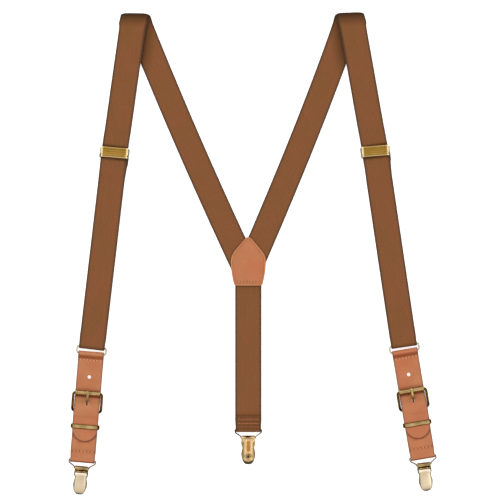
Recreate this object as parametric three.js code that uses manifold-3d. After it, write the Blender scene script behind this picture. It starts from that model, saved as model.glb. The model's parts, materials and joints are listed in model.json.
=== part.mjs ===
// Y-back suspenders with leather ends, lying flat: +X to the right, +Y up towards the shoulders, +Z up off
// the surface they lie on. The front legs lie on top with their outer face up; the back shows its inner face.
// Every moving piece sits in a frame of its own (a Group). Each hinge or slide is marked by an empty named
// Group: its origin is on the joint, its X axis is a hinge's axis and its Y axis a slide's direction.
// Units are millimetres.
import * as THREE from 'three';
import { mergeVertices } from 'three/addons/utils/BufferGeometryUtils.js';
import Module from 'manifold-3d';

const wasm = await Module();
wasm.setup();

// ---------------------------------------------------------------- driving dimensions

const WEB_WIDTH = 25.4; // the elastic is 1 inch wide
const WEB_THICK = 1.5;
const HIDE_WIDTH = 24.8; // the leather ends are a little narrower
const HIDE_THICK = 1.4;
const PLAY = 0.3; // between pieces that lie on each other
const LOOP_PLAY = 0.45; // between a wire and the strap folded round it
const WIRE_SIDES = 6;

// The two sides aren't quite alike, because the straps are laid out by hand. Tilts are in degrees from the
// vertical, leaning outwards on the way down; fold is the middle of the crease at the shoulder.
const SIDES = [
  {
    name: 'left',
    sign: -1,
    fold: [-113.3, 270],
    creaseTilt: -0.8,
    yokeAim: 10.8,
    backTilt: [25.2, 21.5],
    upperTilt: 8.13,
    lowerTilt: 6.69,
    adjusterTilt: 4.7,
    ringTilt: 5.7,
    leatherTilt: 4.7,
    bailTilt: 5.4,
    clipTilt: 6,
  },
  {
    name: 'right',
    sign: 1,
    fold: [101.7, 270.7],
    creaseTilt: 1.8,
    yokeAim: 15.5,
    backTilt: [23.5, 18.4],
    upperTilt: 10.15,
    lowerTilt: 8.46,
    adjusterTilt: 4.5,
    ringTilt: 7.9,
    leatherTilt: 9.6,
    bailTilt: 8.2,
    clipTilt: 6.9,
  },
];

// Yoke: two leather plates, with the three elastic ends between them
const YOKE = { height: 48.7, foot: 13.6, belly: 17.5, bellyAt: 24.5, thick: 1.2, cornerRadius: 2 };
const YOKE_STRAP_Z = YOKE.thick + 0.5; // underside of the straps inside the yoke
const YOKE_JOIN = 10; // the back strap's end meets the two legs at this height

// Shoulder: the strap turns back over itself
const FOLD_RADIUS = 1.9; // to the middle of the elastic
const FOLD_Z = WEB_THICK / 2 + FOLD_RADIUS;

// Heights of the middle of the elastic above the surface
const LOW_Z = WEB_THICK / 2;
const HIGH_Z = WEB_THICK * 1.5 + PLAY;

// Front leg, measured along the strap
const FOLD_TO_ADJUSTER = 138.5;
const ADJUSTER_TO_RING = 199;

// Adjuster: a stamped frame, a strap end round its lower bar, and a plate on a pin
const ADJUSTER = {
  halfWidth: 14.9,
  top: 4.5,
  foot: -6.2,
  barTop: -3.6,
  windowTop: 2.5,
  windowHalf: 13.3,
  z: 1.8,
  sheet: 0.9,
  cheek: 1,
  cheekTop: 8.6,
};
const ADJUSTER_STRAP_Z = 5.55; // middle of the elastic that slides through
const ADJUSTER_PIN = { y: -4.1, z: 7.75, radius: 0.5, halfLength: 15.3 };
const PLATE = { halfWidth: 13.2, halfHeight: 5.4, z: 8.5, thick: 0.8, flange: 0.7, flangeRadius: 1.25 };
const RETURN_BEND = { y: -3, z: 2.25 }; // the strap end turns round the frame's lower bar

// Ring between elastic and leather
const RING = { wire: 0.8, halfWidth: 14, span: 7.4, cornerRadius: 2.2, z: 2.85 };
const UNDER_TAIL = 30; // the elastic runs back up this far before the return run takes over

// Leather end, measured down from the ring's lower bar
const LEATHER_HOLE_AT = -23;
const ROLLER_AT = -39;
const PRONG_HOLE_AT = -50.5;
const BAR_AT = -57.5;
const KEEPER_AT = -72.7;
const TONGUE_END = -86.7;
const CHAPE_SEAM = -66;
const BAIL_AT = -106.4;
const CHAPE = { width: 24.2, z: 3.05, layer: 0.85 }; // two layers, this far above and below the middle
const BILLET_LOW_Z = 1.5; // under the roller
const BILLET_HIGH_Z = 6.75; // over the buckle's bar
const BILLET_LAP_Z = 5.6; // lying on the chape
const HOLE_RADIUS = 1.8;

// Buckle with a roller
const BUCKLE = { wire: 1, halfWidth: 14.65, cornerRadius: 3, rollerZ: 4.9 };
const ROLLER = { inner: 1.3, outer: 2.4, halfLength: 12.3 };
const PRONG = { halfWidth: 1.3, thick: 1.3, eyeInner: 1.3, eyeOuter: 2.2, tipAt: -36.6, tipZ: 8.15 };
const KEEPER = { width: 29, height: 7.8, sheet: 1.2, length: 3.4, cornerRadius: 2 };

// Bail: a wire link between a strap's end and a clip
const BAIL = { wire: 0.6, topHalf: 13, lowHalf: 7.4, length: 8.5, straight: 3, neck: 6.7, cornerRadius: 1.2 };
const BAIL_STRAP_WIDTH = 24.2; // a strap is drawn in to this width inside a bail

// Clip, measured down from the axis of its rolled hem and up from its plate's outer face
const CLIP = { sheet: 0.8, hemRadius: 2.2, hemHalf: 6.5, plateEnd: -22.6, shoulder: 6.8, waist: 5.4, lobe: 6.7 };
const CLIP_HEM_Z = CLIP.hemRadius + CLIP.sheet / 2;
const CLIP_PIN = { y: -5.5, z: 3.4, radius: 0.55, bore: 0.85, halfLength: 7 };
const EAR = { inner: 6, top: 4.6, from: -7.2, to: -3.9 };
const LEVER = { start: -3.9, end: -26.1, neckHalf: 5.5, wide: 6.8, topZ: 5.9, tipZ: 2.3, cheek: 0.8 };
const INSERT = { y: -16.5, halfWidth: 4.6, halfLength: 4.2, z: 1.1, thick: 1, peg: 0.5, pegBore: 0.8, pegAt: -17.4 };
const CLIP_HEIGHT = LEVER.topZ + CLIP.sheet / 2;

// Back strap, measured from the yoke's foot
const BACK_BAIL_AT = -143.9;
const BACK_FOLD_END = -130.5; // the folded end is sewn down up to here
const BACK_BAIL_Z = WEB_THICK + LOOP_PLAY + BAIL.wire;

// ---------------------------------------------------------------- materials

function finish(color, roughness, metalness) {
  return new THREE.MeshStandardMaterial({ color, roughness, metalness });
}

const elastic = finish(0x82552f, 0.9, 0);
const leather = finish(0xc4825c, 0.6, 0);
const gold = finish(0xc99a4a, 0.3, 1);
const paleBrass = finish(0xc9bd96, 0.3, 1);
const antiqueBrass = finish(0x7a5c34, 0.4, 1);
const champagne = finish(0xd4c4a0, 0.35, 1);
const steelWire = finish(0x8c8273, 0.35, 1);
const plastic = finish(0x3a2f28, 0.6, 0);

// ---------------------------------------------------------------- helpers

const radians = THREE.MathUtils.degToRad;
const SIDE_VIEW = new THREE.Matrix4().makeBasis(
  new THREE.Vector3(0, 1, 0),
  new THREE.Vector3(0, 0, 1),
  new THREE.Vector3(1, 0, 0),
);

/** A solid of the given height on a flat outline, standing on z = base. */
function slab(outline, base, height, curveSegments = 6) {
  const options = { depth: height, bevelEnabled: false, curveSegments };
  return new THREE.ExtrudeGeometry(outline, options).translate(0, 0, base);
}

/** A solid from an outline drawn in side view (x along the strap, y its height), between two x positions. */
function sideSlab(outline, from, to, curveSegments = 6) {
  return slab(outline, from, to - from, curveSegments).applyMatrix4(SIDE_VIEW);
}

/** A rectangular block between two corners. */
function block(low, high) {
  const size = high.map((value, k) => value - low[k]);
  const centre = high.map((value, k) => (value + low[k]) / 2);
  return new THREE.BoxGeometry(...size).translate(...centre);
}

/** A rod along X. */
function rod(radius, halfLength, y, z, sides = 10) {
  return new THREE.CylinderGeometry(radius, radius, 2 * halfLength, sides)
    .rotateZ(Math.PI / 2)
    .translate(0, y, z);
}

/** A path's points, without repeats. */
function pointsOf(path, divisions) {
  return path.getPoints(divisions).filter((p, k, all) => k === 0 || p.distanceTo(all[k - 1]) > 1e-3);
}

/** Half-width vectors at each point of a line, mitred so that the strip keeps its width round a corner. */
function mitres(points, half, closed = false) {
  const last = points.length - 1;
  return points.map((point, k) => {
    const before = points[k > 0 ? k - 1 : closed ? last : 0];
    const after = points[k < last ? k + 1 : closed ? 0 : last];
    const into = (point === before ? after.clone().sub(point) : point.clone().sub(before)).normalize();
    const out = (point === after ? point.clone().sub(before) : after.clone().sub(point)).normalize();
    const along = into.clone().add(out).normalize();
    return new THREE.Vector2(-along.y, along.x).multiplyScalar(half / along.dot(into));
  });
}

/** The outline of a strip of the given width along a line. */
function stripAlong(points, width, offsets = mitres(points, width / 2)) {
  const one = points.map((p, k) => p.clone().add(offsets[k]));
  const other = points.map((p, k) => p.clone().sub(offsets[k]));
  return new THREE.Shape([...one.reverse(), ...other]);
}

/** A strap: a side-view path given thickness and width. */
function strap(path, thick, width, divisions = 4) {
  return sideSlab(stripAlong(pointsOf(path, divisions), thick), -width / 2, width / 2);
}

/** Eases a side-view path from where it is to a new place, level at both ends. */
function ease(path, y, z) {
  const middle = (path.currentPoint.x + y) / 2;
  path.bezierCurveTo(middle, path.currentPoint.y, middle, z, y, z);
}

/** A closed loop of round wire in the XY plane. */
function wireLoop(outline, radius, divisions = 2) {
  const line = pointsOf(outline, divisions);
  if (line[0].distanceTo(line[line.length - 1]) < 1e-3) line.pop();
  const across = mitres(line, 1, true);
  const position = [];
  const index = [];
  line.forEach((point, k) => {
    for (let side = 0; side < WIRE_SIDES; side++) {
      const turn = (2 * Math.PI * side) / WIRE_SIDES;
      const reach = radius * Math.cos(turn);
      position.push(point.x + across[k].x * reach, point.y + across[k].y * reach, radius * Math.sin(turn));
      const next = (side + 1) % WIRE_SIDES;
      const here = k * WIRE_SIDES;
      const there = ((k + 1) % line.length) * WIRE_SIDES;
      index.push(here + side, here + next, there + side, there + side, here + next, there + next);
    }
  });
  const geometry = new THREE.BufferGeometry();
  geometry.setAttribute('position', new THREE.Float32BufferAttribute(position, 3));
  geometry.setIndex(index);
  return geometry;
}

/** A rectangle with rounded corners, drawn anticlockwise. */
function roundedRectangle(left, bottom, right, top, radius) {
  const shape = new THREE.Shape();
  shape.moveTo(left + radius, bottom);
  shape.lineTo(right - radius, bottom);
  shape.absarc(right - radius, bottom + radius, radius, -Math.PI / 2, 0);
  shape.absarc(right - radius, top - radius, radius, 0, Math.PI / 2);
  shape.absarc(left + radius, top - radius, radius, Math.PI / 2, Math.PI);
  shape.absarc(left + radius, bottom + radius, radius, Math.PI, 1.5 * Math.PI);
  return shape;
}

/** The outline mirrored to the other side of the Y axis, from its right half listed from top to bottom. */
function mirrored(half, divisions = 4) {
  const right = pointsOf(half, divisions);
  const left = right.map((p) => new THREE.Vector2(-p.x, p.y)).filter((p) => p.x < -1e-3);
  return new THREE.Shape([...left, ...right.reverse()]);
}

/** A geometry as a solid that can be cut and joined. */
function solid(geometry) {
  const bare = geometry.clone();
  bare.deleteAttribute('normal');
  bare.deleteAttribute('uv');
  const merged = mergeVertices(bare, 1e-4);
  const { array } = merged.attributes.position;
  const triVerts = new Uint32Array(merged.index.array);
  return new wasm.Manifold(new wasm.Mesh({ numProp: 3, vertProperties: new Float32Array(array), triVerts }));
}

/** A cut or joined solid as a geometry again. */
function surface(manifold) {
  const mesh = manifold.getMesh();
  const geometry = new THREE.BufferGeometry();
  geometry.setAttribute('position', new THREE.BufferAttribute(mesh.vertProperties, 3));
  geometry.setIndex(new THREE.BufferAttribute(mesh.triVerts, 1));
  geometry.computeVertexNormals();
  return geometry;
}

function join(...parts) {
  return surface(parts.map(solid).reduce((whole, part) => whole.add(part)));
}

function cut(whole, ...tools) {
  return surface(tools.map(solid).reduce((rest, tool) => rest.subtract(tool), solid(whole)));
}

function within(whole, limit) {
  return surface(solid(whole).intersect(solid(limit)));
}

/** Adds a named piece to a frame. */
function piece(frame, name, geometry, material) {
  const mesh = new THREE.Mesh(geometry, material);
  mesh.name = name;
  frame.add(mesh);
}

/** A frame inside another, moved along its strap and turned in the plane by a number of degrees. */
function frameAt(parent, x, y, turn = 0) {
  const frame = new THREE.Group();
  frame.position.set(x, y, 0);
  frame.rotation.z = radians(turn);
  parent.add(frame);
  return frame;
}

/** Marks a joint: an empty frame on its axis. */
function joint(frame, name, y, z) {
  const marker = new THREE.Group();
  marker.name = name;
  marker.position.set(0, y, z);
  frame.add(marker);
}

// ---------------------------------------------------------------- clip and bail, shared by all three straps

function bailOutline() {
  const half = new THREE.Path();
  const { topHalf, lowHalf, length, straight, neck, cornerRadius: r } = BAIL;
  half.moveTo(0, 0);
  half.lineTo(topHalf - r, 0);
  half.absarc(topHalf - r, -r, r, Math.PI / 2, 0, true);
  half.lineTo(topHalf, -straight);
  half.lineTo(lowHalf, -neck);
  half.lineTo(lowHalf, r - length);
  half.absarc(lowHalf - r, r - length, r, 0, -Math.PI / 2, true);
  half.lineTo(0, -length);
  return mirrored(half, 2);
}

function clipBaseOutline() {
  const { shoulder, waist, lobe, hemHalf, plateEnd } = CLIP;
  const half = new THREE.Path();
  half.moveTo(0, CLIP_HEM_Z + 1);
  half.lineTo(hemHalf, CLIP_HEM_Z + 1);
  half.lineTo(hemHalf, -CLIP_HEM_Z);
  half.lineTo(shoulder, -CLIP_HEM_Z - 0.6);
  half.lineTo(shoulder, EAR.from);
  half.quadraticCurveTo(waist, EAR.from - 0.4, waist, EAR.from - 1.4);
  half.quadraticCurveTo(waist + 0.2, -12, lobe, -14.5);
  half.lineTo(lobe, plateEnd + 6);
  half.quadraticCurveTo(lobe, plateEnd, 0, plateEnd);
  return mirrored(half);
}

function clipBase() {
  const path = new THREE.Path();
  path.moveTo(CLIP.plateEnd - 1, CLIP.sheet / 2);
  path.lineTo(0, CLIP.sheet / 2);
  path.absarc(0, CLIP_HEM_Z, CLIP.hemRadius, -Math.PI / 2, radians(200));
  const sheet = strap(path, CLIP.sheet, 2 * CLIP.shoulder + 2, 6);
  const plate = within(sheet, slab(clipBaseOutline(), -1, 2 * CLIP_HEM_Z + 2));
  const ears = [-1, 1].map((side) => {
    const edges = [side * EAR.inner, side * CLIP.shoulder].sort((a, b) => a - b);
    return block([edges[0], EAR.from, CLIP.sheet / 2], [edges[1], EAR.to, EAR.top]);
  });
  const pinBore = rod(CLIP_PIN.bore, CLIP_PIN.halfLength + 1, CLIP_PIN.y, CLIP_PIN.z);
  const pegBore = new THREE.CylinderGeometry(INSERT.pegBore, INSERT.pegBore, 4, 12)
    .rotateX(Math.PI / 2)
    .translate(0, INSERT.pegAt, 0);
  return cut(join(plate, ...ears), pinBore, pegBore);
}

function clipLever() {
  const path = new THREE.Path();
  path.moveTo(LEVER.start, LEVER.topZ - 1);
  path.quadraticCurveTo(LEVER.start - 1, LEVER.topZ, LEVER.start - 3.6, LEVER.topZ);
  path.bezierCurveTo(-16, LEVER.topZ, -22, LEVER.tipZ + 2, LEVER.end, LEVER.tipZ);
  const sheet = strap(path, CLIP.sheet, 2 * LEVER.wide + 2, 5);
  const half = new THREE.Path();
  half.moveTo(0, LEVER.start + 2);
  half.lineTo(LEVER.neckHalf, LEVER.start + 2);
  half.lineTo(LEVER.neckHalf, EAR.from - 0.4);
  half.lineTo(LEVER.neckHalf + 0.5, EAR.from - 0.6);
  half.quadraticCurveTo(LEVER.wide, -14, LEVER.wide, -18.5);
  half.quadraticCurveTo(LEVER.wide, LEVER.end, 0, LEVER.end);
  const cover = within(sheet, slab(mirrored(half), 0, CLIP_HEIGHT + 1));
  const cheekShape = new THREE.Shape();
  cheekShape.moveTo(LEVER.start - 3.4, LEVER.topZ - 0.2);
  cheekShape.lineTo(LEVER.start - 3.4, CLIP_PIN.z - 0.6);
  cheekShape.quadraticCurveTo(CLIP_PIN.y, CLIP_PIN.z - 2.6, LEVER.start, CLIP_PIN.z - 0.6);
  cheekShape.lineTo(LEVER.start - 0.1, LEVER.topZ - 1);
  const cheeks = [-1, 1].map((side) => {
    const edges = [side * LEVER.neckHalf, side * (LEVER.neckHalf - LEVER.cheek)].sort((a, b) => a - b);
    return sideSlab(cheekShape, edges[0], edges[1], 4);
  });
  return cut(join(cover, ...cheeks), rod(CLIP_PIN.bore, LEVER.neckHalf + 1, CLIP_PIN.y, CLIP_PIN.z));
}

function clipInsert() {
  const { y, halfWidth, halfLength, z, thick, peg, pegAt } = INSERT;
  const pad = slab(roundedRectangle(-halfWidth, y - halfLength, halfWidth, y + halfLength, 2), z, thick, 3);
  const stem = new THREE.CylinderGeometry(peg, peg, z + 0.3, 10)
    .rotateX(Math.PI / 2)
    .translate(0, pegAt, (z + 0.3) / 2 + 0.1);
  return join(pad, stem);
}

/** A bail on its axis at the frame's origin and height z, leaning so that its lower bar is at height lowZ. */
function addBail(frame, name, z, lowZ) {
  const lean = Math.asin((lowZ - z) / BAIL.length);
  const wire = wireLoop(bailOutline(), BAIL.wire).rotateX(-lean).translate(0, 0, z);
  piece(frame, `${name}_bail`, wire, steelWire);
  joint(frame, `${name}_bail_swing`, 0, z);
  return BAIL.length * Math.cos(lean);
}

function addClip(frame, name) {
  piece(frame, `${name}_clip_base`, clipBase(), antiqueBrass);
  piece(frame, `${name}_clip_lever`, clipLever(), champagne);
  piece(frame, `${name}_clip_pin`, rod(CLIP_PIN.radius, CLIP_PIN.halfLength, CLIP_PIN.y, CLIP_PIN.z), steelWire);
  piece(frame, `${name}_clip_insert`, clipInsert(), plastic);
  joint(frame, `${name}_clip_swing`, 0, CLIP_HEM_Z);
  joint(frame, `${name}_lever_open`, CLIP_PIN.y, CLIP_PIN.z);
}

// ---------------------------------------------------------------- yoke and back

function yokeOutline() {
  const { height, foot, belly, bellyAt, cornerRadius: r } = YOKE;
  const half = new THREE.Path();
  half.moveTo(0, height);
  half.bezierCurveTo(3, height, 6, height - 5, 10, height - 9.5);
  half.bezierCurveTo(14, height - 14, belly, bellyAt + 6, belly, bellyAt);
  half.bezierCurveTo(belly, bellyAt - 6, foot + 0.8, 12, foot + 0.2, r);
  half.absarc(foot - r, r, r, 0, -Math.PI / 2, true);
  half.lineTo(0, 0);
  return mirrored(half);
}

/** The height of a back leg's underside: on the yoke's outer plate, and down on the surface at the shoulder. */
function legBase(y, foldY) {
  return (YOKE_STRAP_Z * (foldY - y)) / (foldY - YOKE_JOIN);
}

function backRun(side) {
  const [footTilt, topTilt] = side.backTilt.map(radians);
  const foot = new THREE.Vector2(0, side.yokeAim);
  const drift = FOLD_RADIUS * (Math.PI / 2) * Math.tan(meanCross(side)) * side.sign;
  const top = new THREE.Vector2(side.fold[0] - drift, side.fold[1] - PLAY);
  const up = new THREE.Vector2(side.sign * Math.sin(footTilt), Math.cos(footTilt));
  const down = new THREE.Vector2(-side.sign * Math.sin(topTilt), -Math.cos(topTilt));
  const reach = top.clone().sub(foot).cross(down) / up.cross(down);
  const bend = foot.clone().addScaledVector(up, reach);
  const line = new THREE.QuadraticBezierCurve(foot.clone().addScaledVector(up, -12), bend, top).getPoints(12);
  const offsets = mitres(line, WEB_WIDTH / 2);
  const crease = new THREE.Vector2(Math.cos(radians(side.creaseTilt)), Math.sin(radians(side.creaseTilt)));
  offsets[12] = crease.multiplyScalar(WEB_WIDTH / 2 / crease.cross(down));
  const run = slab(stripAlong(line, WEB_WIDTH, offsets), 0, WEB_THICK);
  const spot = run.attributes.position;
  for (let k = 0; k < spot.count; k++) spot.setZ(k, spot.getZ(k) + legBase(spot.getY(k), side.fold[1]));
  const otherSide = side.sign < 0 ? block([-0.2, -40, -5], [60, 80, 9]) : block([-60, -40, -5], [0.2, 80, 9]);
  return cut(run, otherSide, block([-60, -60, -5], [60, YOKE_JOIN + PLAY, 9]));
}

function backStrap() {
  const path = new THREE.Path();
  const strapZ = YOKE_STRAP_Z + WEB_THICK / 2;
  const radius = BACK_BAIL_Z - LOW_Z;
  path.moveTo(YOKE_JOIN, strapZ);
  path.lineTo(-2, strapZ);
  ease(path, -18, LOW_Z);
  path.lineTo(BACK_BAIL_AT, LOW_Z);
  path.absarc(BACK_BAIL_AT, BACK_BAIL_Z, radius, -Math.PI / 2, Math.PI / 2, true);
  ease(path, BACK_FOLD_END - 4, HIGH_Z);
  path.lineTo(BACK_FOLD_END, HIGH_Z);
  const half = new THREE.Path();
  half.moveTo(0, YOKE_JOIN + 1);
  half.lineTo(WEB_WIDTH / 2, YOKE_JOIN + 1);
  half.lineTo(WEB_WIDTH / 2, BACK_FOLD_END - 2);
  half.lineTo(BAIL_STRAP_WIDTH / 2, BACK_BAIL_AT + 6);
  half.lineTo(BAIL_STRAP_WIDTH / 2, BACK_BAIL_AT - 4);
  half.lineTo(0, BACK_BAIL_AT - 4);
  return within(strap(path, WEB_THICK, WEB_WIDTH + 2, 4), slab(mirrored(half), -1, 8));
}

function addBack(group) {
  piece(group, 'y_patch_outer', slab(yokeOutline(), 0, YOKE.thick), leather);
  const overStraps = YOKE_STRAP_Z + WEB_THICK + PLAY;
  piece(group, 'y_patch_inner', slab(yokeOutline(), overStraps, YOKE.thick), leather);
  piece(group, 'back_strap', backStrap(), elastic);
  const bailFrame = frameAt(group, 0, BACK_BAIL_AT);
  const hemZ = CLIP_HEIGHT + 0.1 - CLIP_HEM_Z;
  const reach = addBail(bailFrame, 'back', BACK_BAIL_Z, hemZ);
  const clipFrame = frameAt(bailFrame, 0, -reach);
  clipFrame.position.z = CLIP_HEIGHT + 0.1;
  clipFrame.rotation.y = Math.PI; // its lever lies underneath
  addClip(clipFrame, 'back');
}

// ---------------------------------------------------------------- front legs

/** How far, on average, the two legs lean from square to the crease at the shoulder. */
function meanCross(side) {
  return radians((side.backTilt[1] + side.upperTilt) / 2);
}

function shoulderBend(side) {
  const path = new THREE.Path();
  path.absarc(0, 0, FOLD_RADIUS, -Math.PI / 2, Math.PI / 2);
  const width = WEB_WIDTH / Math.cos(meanCross(side));
  const bend = strap(path, WEB_THICK, width, 5);
  const spot = bend.attributes.position;
  const drift = side.sign * Math.tan(meanCross(side)) * FOLD_RADIUS;
  for (let k = 0; k < spot.count; k++) {
    const turn = Math.atan2(spot.getZ(k), Math.max(spot.getY(k), 0));
    spot.setX(k, spot.getX(k) + drift * turn);
  }
  return bend.translate(0, 0, FOLD_Z);
}

function frontRun(slope) {
  const path = new THREE.Path();
  path.moveTo(-PLAY, FOLD_Z + FOLD_RADIUS);
  path.lineTo(-60, FOLD_Z + FOLD_RADIUS);
  ease(path, -100, HIGH_Z);
  path.lineTo(28 - FOLD_TO_ADJUSTER, HIGH_Z);
  ease(path, 12 - FOLD_TO_ADJUSTER, ADJUSTER_STRAP_Z);
  path.lineTo(10 - FOLD_TO_ADJUSTER, ADJUSTER_STRAP_Z);
  const run = strap(path, WEB_THICK, WEB_WIDTH);
  const spot = run.attributes.position;
  for (let k = 0; k < spot.count; k++) {
    if (spot.getY(k) > -1) spot.setY(k, spot.getY(k) + slope * spot.getX(k));
  }
  return run;
}

function lowerRun() {
  const barAt = RING.span / 2 - ADJUSTER_TO_RING;
  const radius = RING.wire + LOOP_PLAY + WEB_THICK / 2;
  const path = new THREE.Path();
  path.moveTo(9, ADJUSTER_STRAP_Z);
  path.lineTo(-8, ADJUSTER_STRAP_Z);
  ease(path, -16, ADJUSTER_STRAP_Z - 1);
  ease(path, -36, HIGH_Z);
  path.lineTo(barAt + 24, HIGH_Z);
  ease(path, barAt + 4, RING.z + radius);
  path.lineTo(barAt, RING.z + radius);
  path.absarc(barAt, RING.z, radius, Math.PI / 2, 1.5 * Math.PI);
  ease(path, barAt + UNDER_TAIL, LOW_Z);
  return strap(path, WEB_THICK, WEB_WIDTH);
}

function returnRun() {
  const from = RING.span / 2 - ADJUSTER_TO_RING + UNDER_TAIL + PLAY;
  const radius = RETURN_BEND.z - LOW_Z;
  const path = new THREE.Path();
  path.moveTo(from, LOW_Z);
  path.lineTo(RETURN_BEND.y, LOW_Z);
  path.absarc(RETURN_BEND.y, RETURN_BEND.z, radius, -Math.PI / 2, Math.PI / 2);
  path.lineTo(RETURN_BEND.y - 3.5, RETURN_BEND.z + radius);
  ease(path, RETURN_BEND.y - 10, HIGH_Z);
  path.lineTo(RETURN_BEND.y - 15, HIGH_Z);
  return strap(path, WEB_THICK, WEB_WIDTH);
}

function adjusterFrame() {
  const a = ADJUSTER;
  const outline = roundedRectangle(-a.halfWidth, a.foot, a.halfWidth, a.top, 1);
  outline.holes.push(roundedRectangle(-a.windowHalf, a.barTop, a.windowHalf, a.windowTop, 0.4));
  const base = slab(outline, a.z, a.sheet, 2);
  const cheekShape = new THREE.Shape();
  cheekShape.moveTo(a.foot + 0.6, a.z + 0.2);
  cheekShape.lineTo(a.top - 1, a.z + 0.2);
  cheekShape.lineTo(ADJUSTER_PIN.y + 1.6, a.cheekTop);
  cheekShape.lineTo(ADJUSTER_PIN.y - 1.2, a.cheekTop);
  const cheeks = [-1, 1].map((side) => {
    const edges = [side * a.halfWidth, side * (a.halfWidth - a.cheek)].sort((p, q) => p - q);
    return sideSlab(cheekShape, edges[0], edges[1]);
  });
  const bore = rod(ADJUSTER_PIN.radius + PLAY - 0.05, ADJUSTER_PIN.halfLength + 1, ADJUSTER_PIN.y, ADJUSTER_PIN.z);
  return cut(join(base, ...cheeks), bore);
}

function adjusterPlate() {
  const { halfWidth, halfHeight, z, thick, flange, flangeRadius } = PLATE;
  const face = slab(roundedRectangle(-halfWidth, -halfHeight, halfWidth, halfHeight, 0.8), z, thick, 2);
  const flanges = [-1, 1].map((side) => {
    const eye = new THREE.CylinderGeometry(flangeRadius, flangeRadius, flange, 12).rotateZ(Math.PI / 2);
    return eye.translate(side * (halfWidth - flange / 2), ADJUSTER_PIN.y, ADJUSTER_PIN.z);
  });
  const bore = rod(ADJUSTER_PIN.radius + 0.2, halfWidth + 1, ADJUSTER_PIN.y, ADJUSTER_PIN.z, 10);
  return cut(join(face, ...flanges), bore);
}

function billet() {
  const ringRadius = RING.wire + LOOP_PLAY + HIDE_THICK / 2;
  const lapZ = RING.z - ringRadius + HIDE_THICK + PLAY;
  const path = new THREE.Path();
  path.moveTo(-13, RING.z - ringRadius);
  path.lineTo(0, RING.z - ringRadius);
  path.absarc(0, RING.z, ringRadius, -Math.PI / 2, Math.PI / 2);
  ease(path, -9, lapZ);
  path.lineTo(-13, lapZ);
  ease(path, ROLLER_AT + 7, BILLET_LOW_Z);
  path.lineTo(ROLLER_AT - 2.5, BILLET_LOW_Z);
  ease(path, BAR_AT + 1.5, BILLET_HIGH_Z);
  path.lineTo(BAR_AT - 2.5, BILLET_HIGH_Z);
  ease(path, KEEPER_AT + 8, BILLET_LAP_Z);
  path.lineTo(TONGUE_END, BILLET_LAP_Z);
  const half = new THREE.Path();
  half.moveTo(0, 4);
  half.lineTo(HIDE_WIDTH / 2, 4);
  half.lineTo(HIDE_WIDTH / 2, TONGUE_END + 10);
  half.bezierCurveTo(HIDE_WIDTH / 2, TONGUE_END + 4, 7, TONGUE_END, 0, TONGUE_END);
  const tongue = within(strap(path, HIDE_THICK, HIDE_WIDTH + 2), slab(mirrored(half, 6), -1, 12));
  const hole = new THREE.CylinderGeometry(HOLE_RADIUS, HOLE_RADIUS, 20, 12)
    .rotateX(Math.PI / 2)
    .translate(0, LEATHER_HOLE_AT, 0);
  const slot = roundedRectangle(-HOLE_RADIUS, PRONG_HOLE_AT - 4, HOLE_RADIUS, PRONG_HOLE_AT + 4, 1.7);
  return cut(tongue, hole, slab(slot, -1, 12, 3));
}

function chape() {
  const barRadius = BUCKLE.wire + PLAY + HIDE_THICK / 2;
  const bailRadius = BAIL.wire + LOOP_PLAY + HIDE_THICK / 2;
  const { z, layer, width } = CHAPE;
  const path = new THREE.Path();
  path.moveTo(CHAPE_SEAM, z + layer);
  ease(path, BAR_AT - 1, z + barRadius);
  path.absarc(BAR_AT, z, barRadius, Math.PI / 2, -Math.PI / 2, true);
  ease(path, BAR_AT - 9, z - layer);
  path.lineTo(BAIL_AT + 8, z - layer);
  ease(path, BAIL_AT, z - bailRadius);
  path.absarc(BAIL_AT, z, bailRadius, -Math.PI / 2, Math.PI / 2, true);
  ease(path, BAIL_AT + 8, z + layer);
  path.lineTo(CHAPE_SEAM - 0.6, z + layer);
  const prongSlot = block([-2.3, BAR_AT - 6, -1], [2.3, BAR_AT + 5, 12]);
  return cut(strap(path, HIDE_THICK, width), prongSlot);
}

function buckleFrame() {
  const rise = BUCKLE.rollerZ - CHAPE.z;
  const run = ROLLER_AT - BAR_AT;
  const length = Math.hypot(rise, run);
  const outline = roundedRectangle(-BUCKLE.halfWidth, 0, BUCKLE.halfWidth, length, BUCKLE.cornerRadius);
  return wireLoop(outline, BUCKLE.wire).rotateX(Math.atan2(rise, run)).translate(0, BAR_AT, CHAPE.z);
}

function buckleRoller() {
  const { inner, outer, halfLength } = ROLLER;
  const profile = [
    [inner, -halfLength],
    [outer, -halfLength],
    [outer, halfLength],
    [inner, halfLength],
    [inner, -halfLength],
  ].map(([radius, along]) => new THREE.Vector2(radius, along));
  return new THREE.LatheGeometry(profile, 16).rotateZ(Math.PI / 2).translate(0, ROLLER_AT, BUCKLE.rollerZ);
}

function buckleProng() {
  const { halfWidth, thick, eyeInner, eyeOuter, tipAt, tipZ } = PRONG;
  const shankZ = CHAPE.z + (eyeInner + eyeOuter) / 2;
  const eye = new THREE.Shape().absarc(BAR_AT, CHAPE.z, eyeOuter, 0, 2 * Math.PI);
  const path = new THREE.Path();
  path.moveTo(BAR_AT, shankZ);
  path.bezierCurveTo(BAR_AT + 7.5, shankZ - 0.6, ROLLER_AT - 7, tipZ - 0.5, ROLLER_AT - 0.5, tipZ);
  path.lineTo(tipAt, tipZ - 0.2);
  const shank = strap(path, thick, 2 * halfWidth, 8);
  const boss = sideSlab(eye, -halfWidth, halfWidth, 9);
  return cut(join(boss, shank), rod(eyeInner, halfWidth + 1, BAR_AT, CHAPE.z, 18));
}

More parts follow.
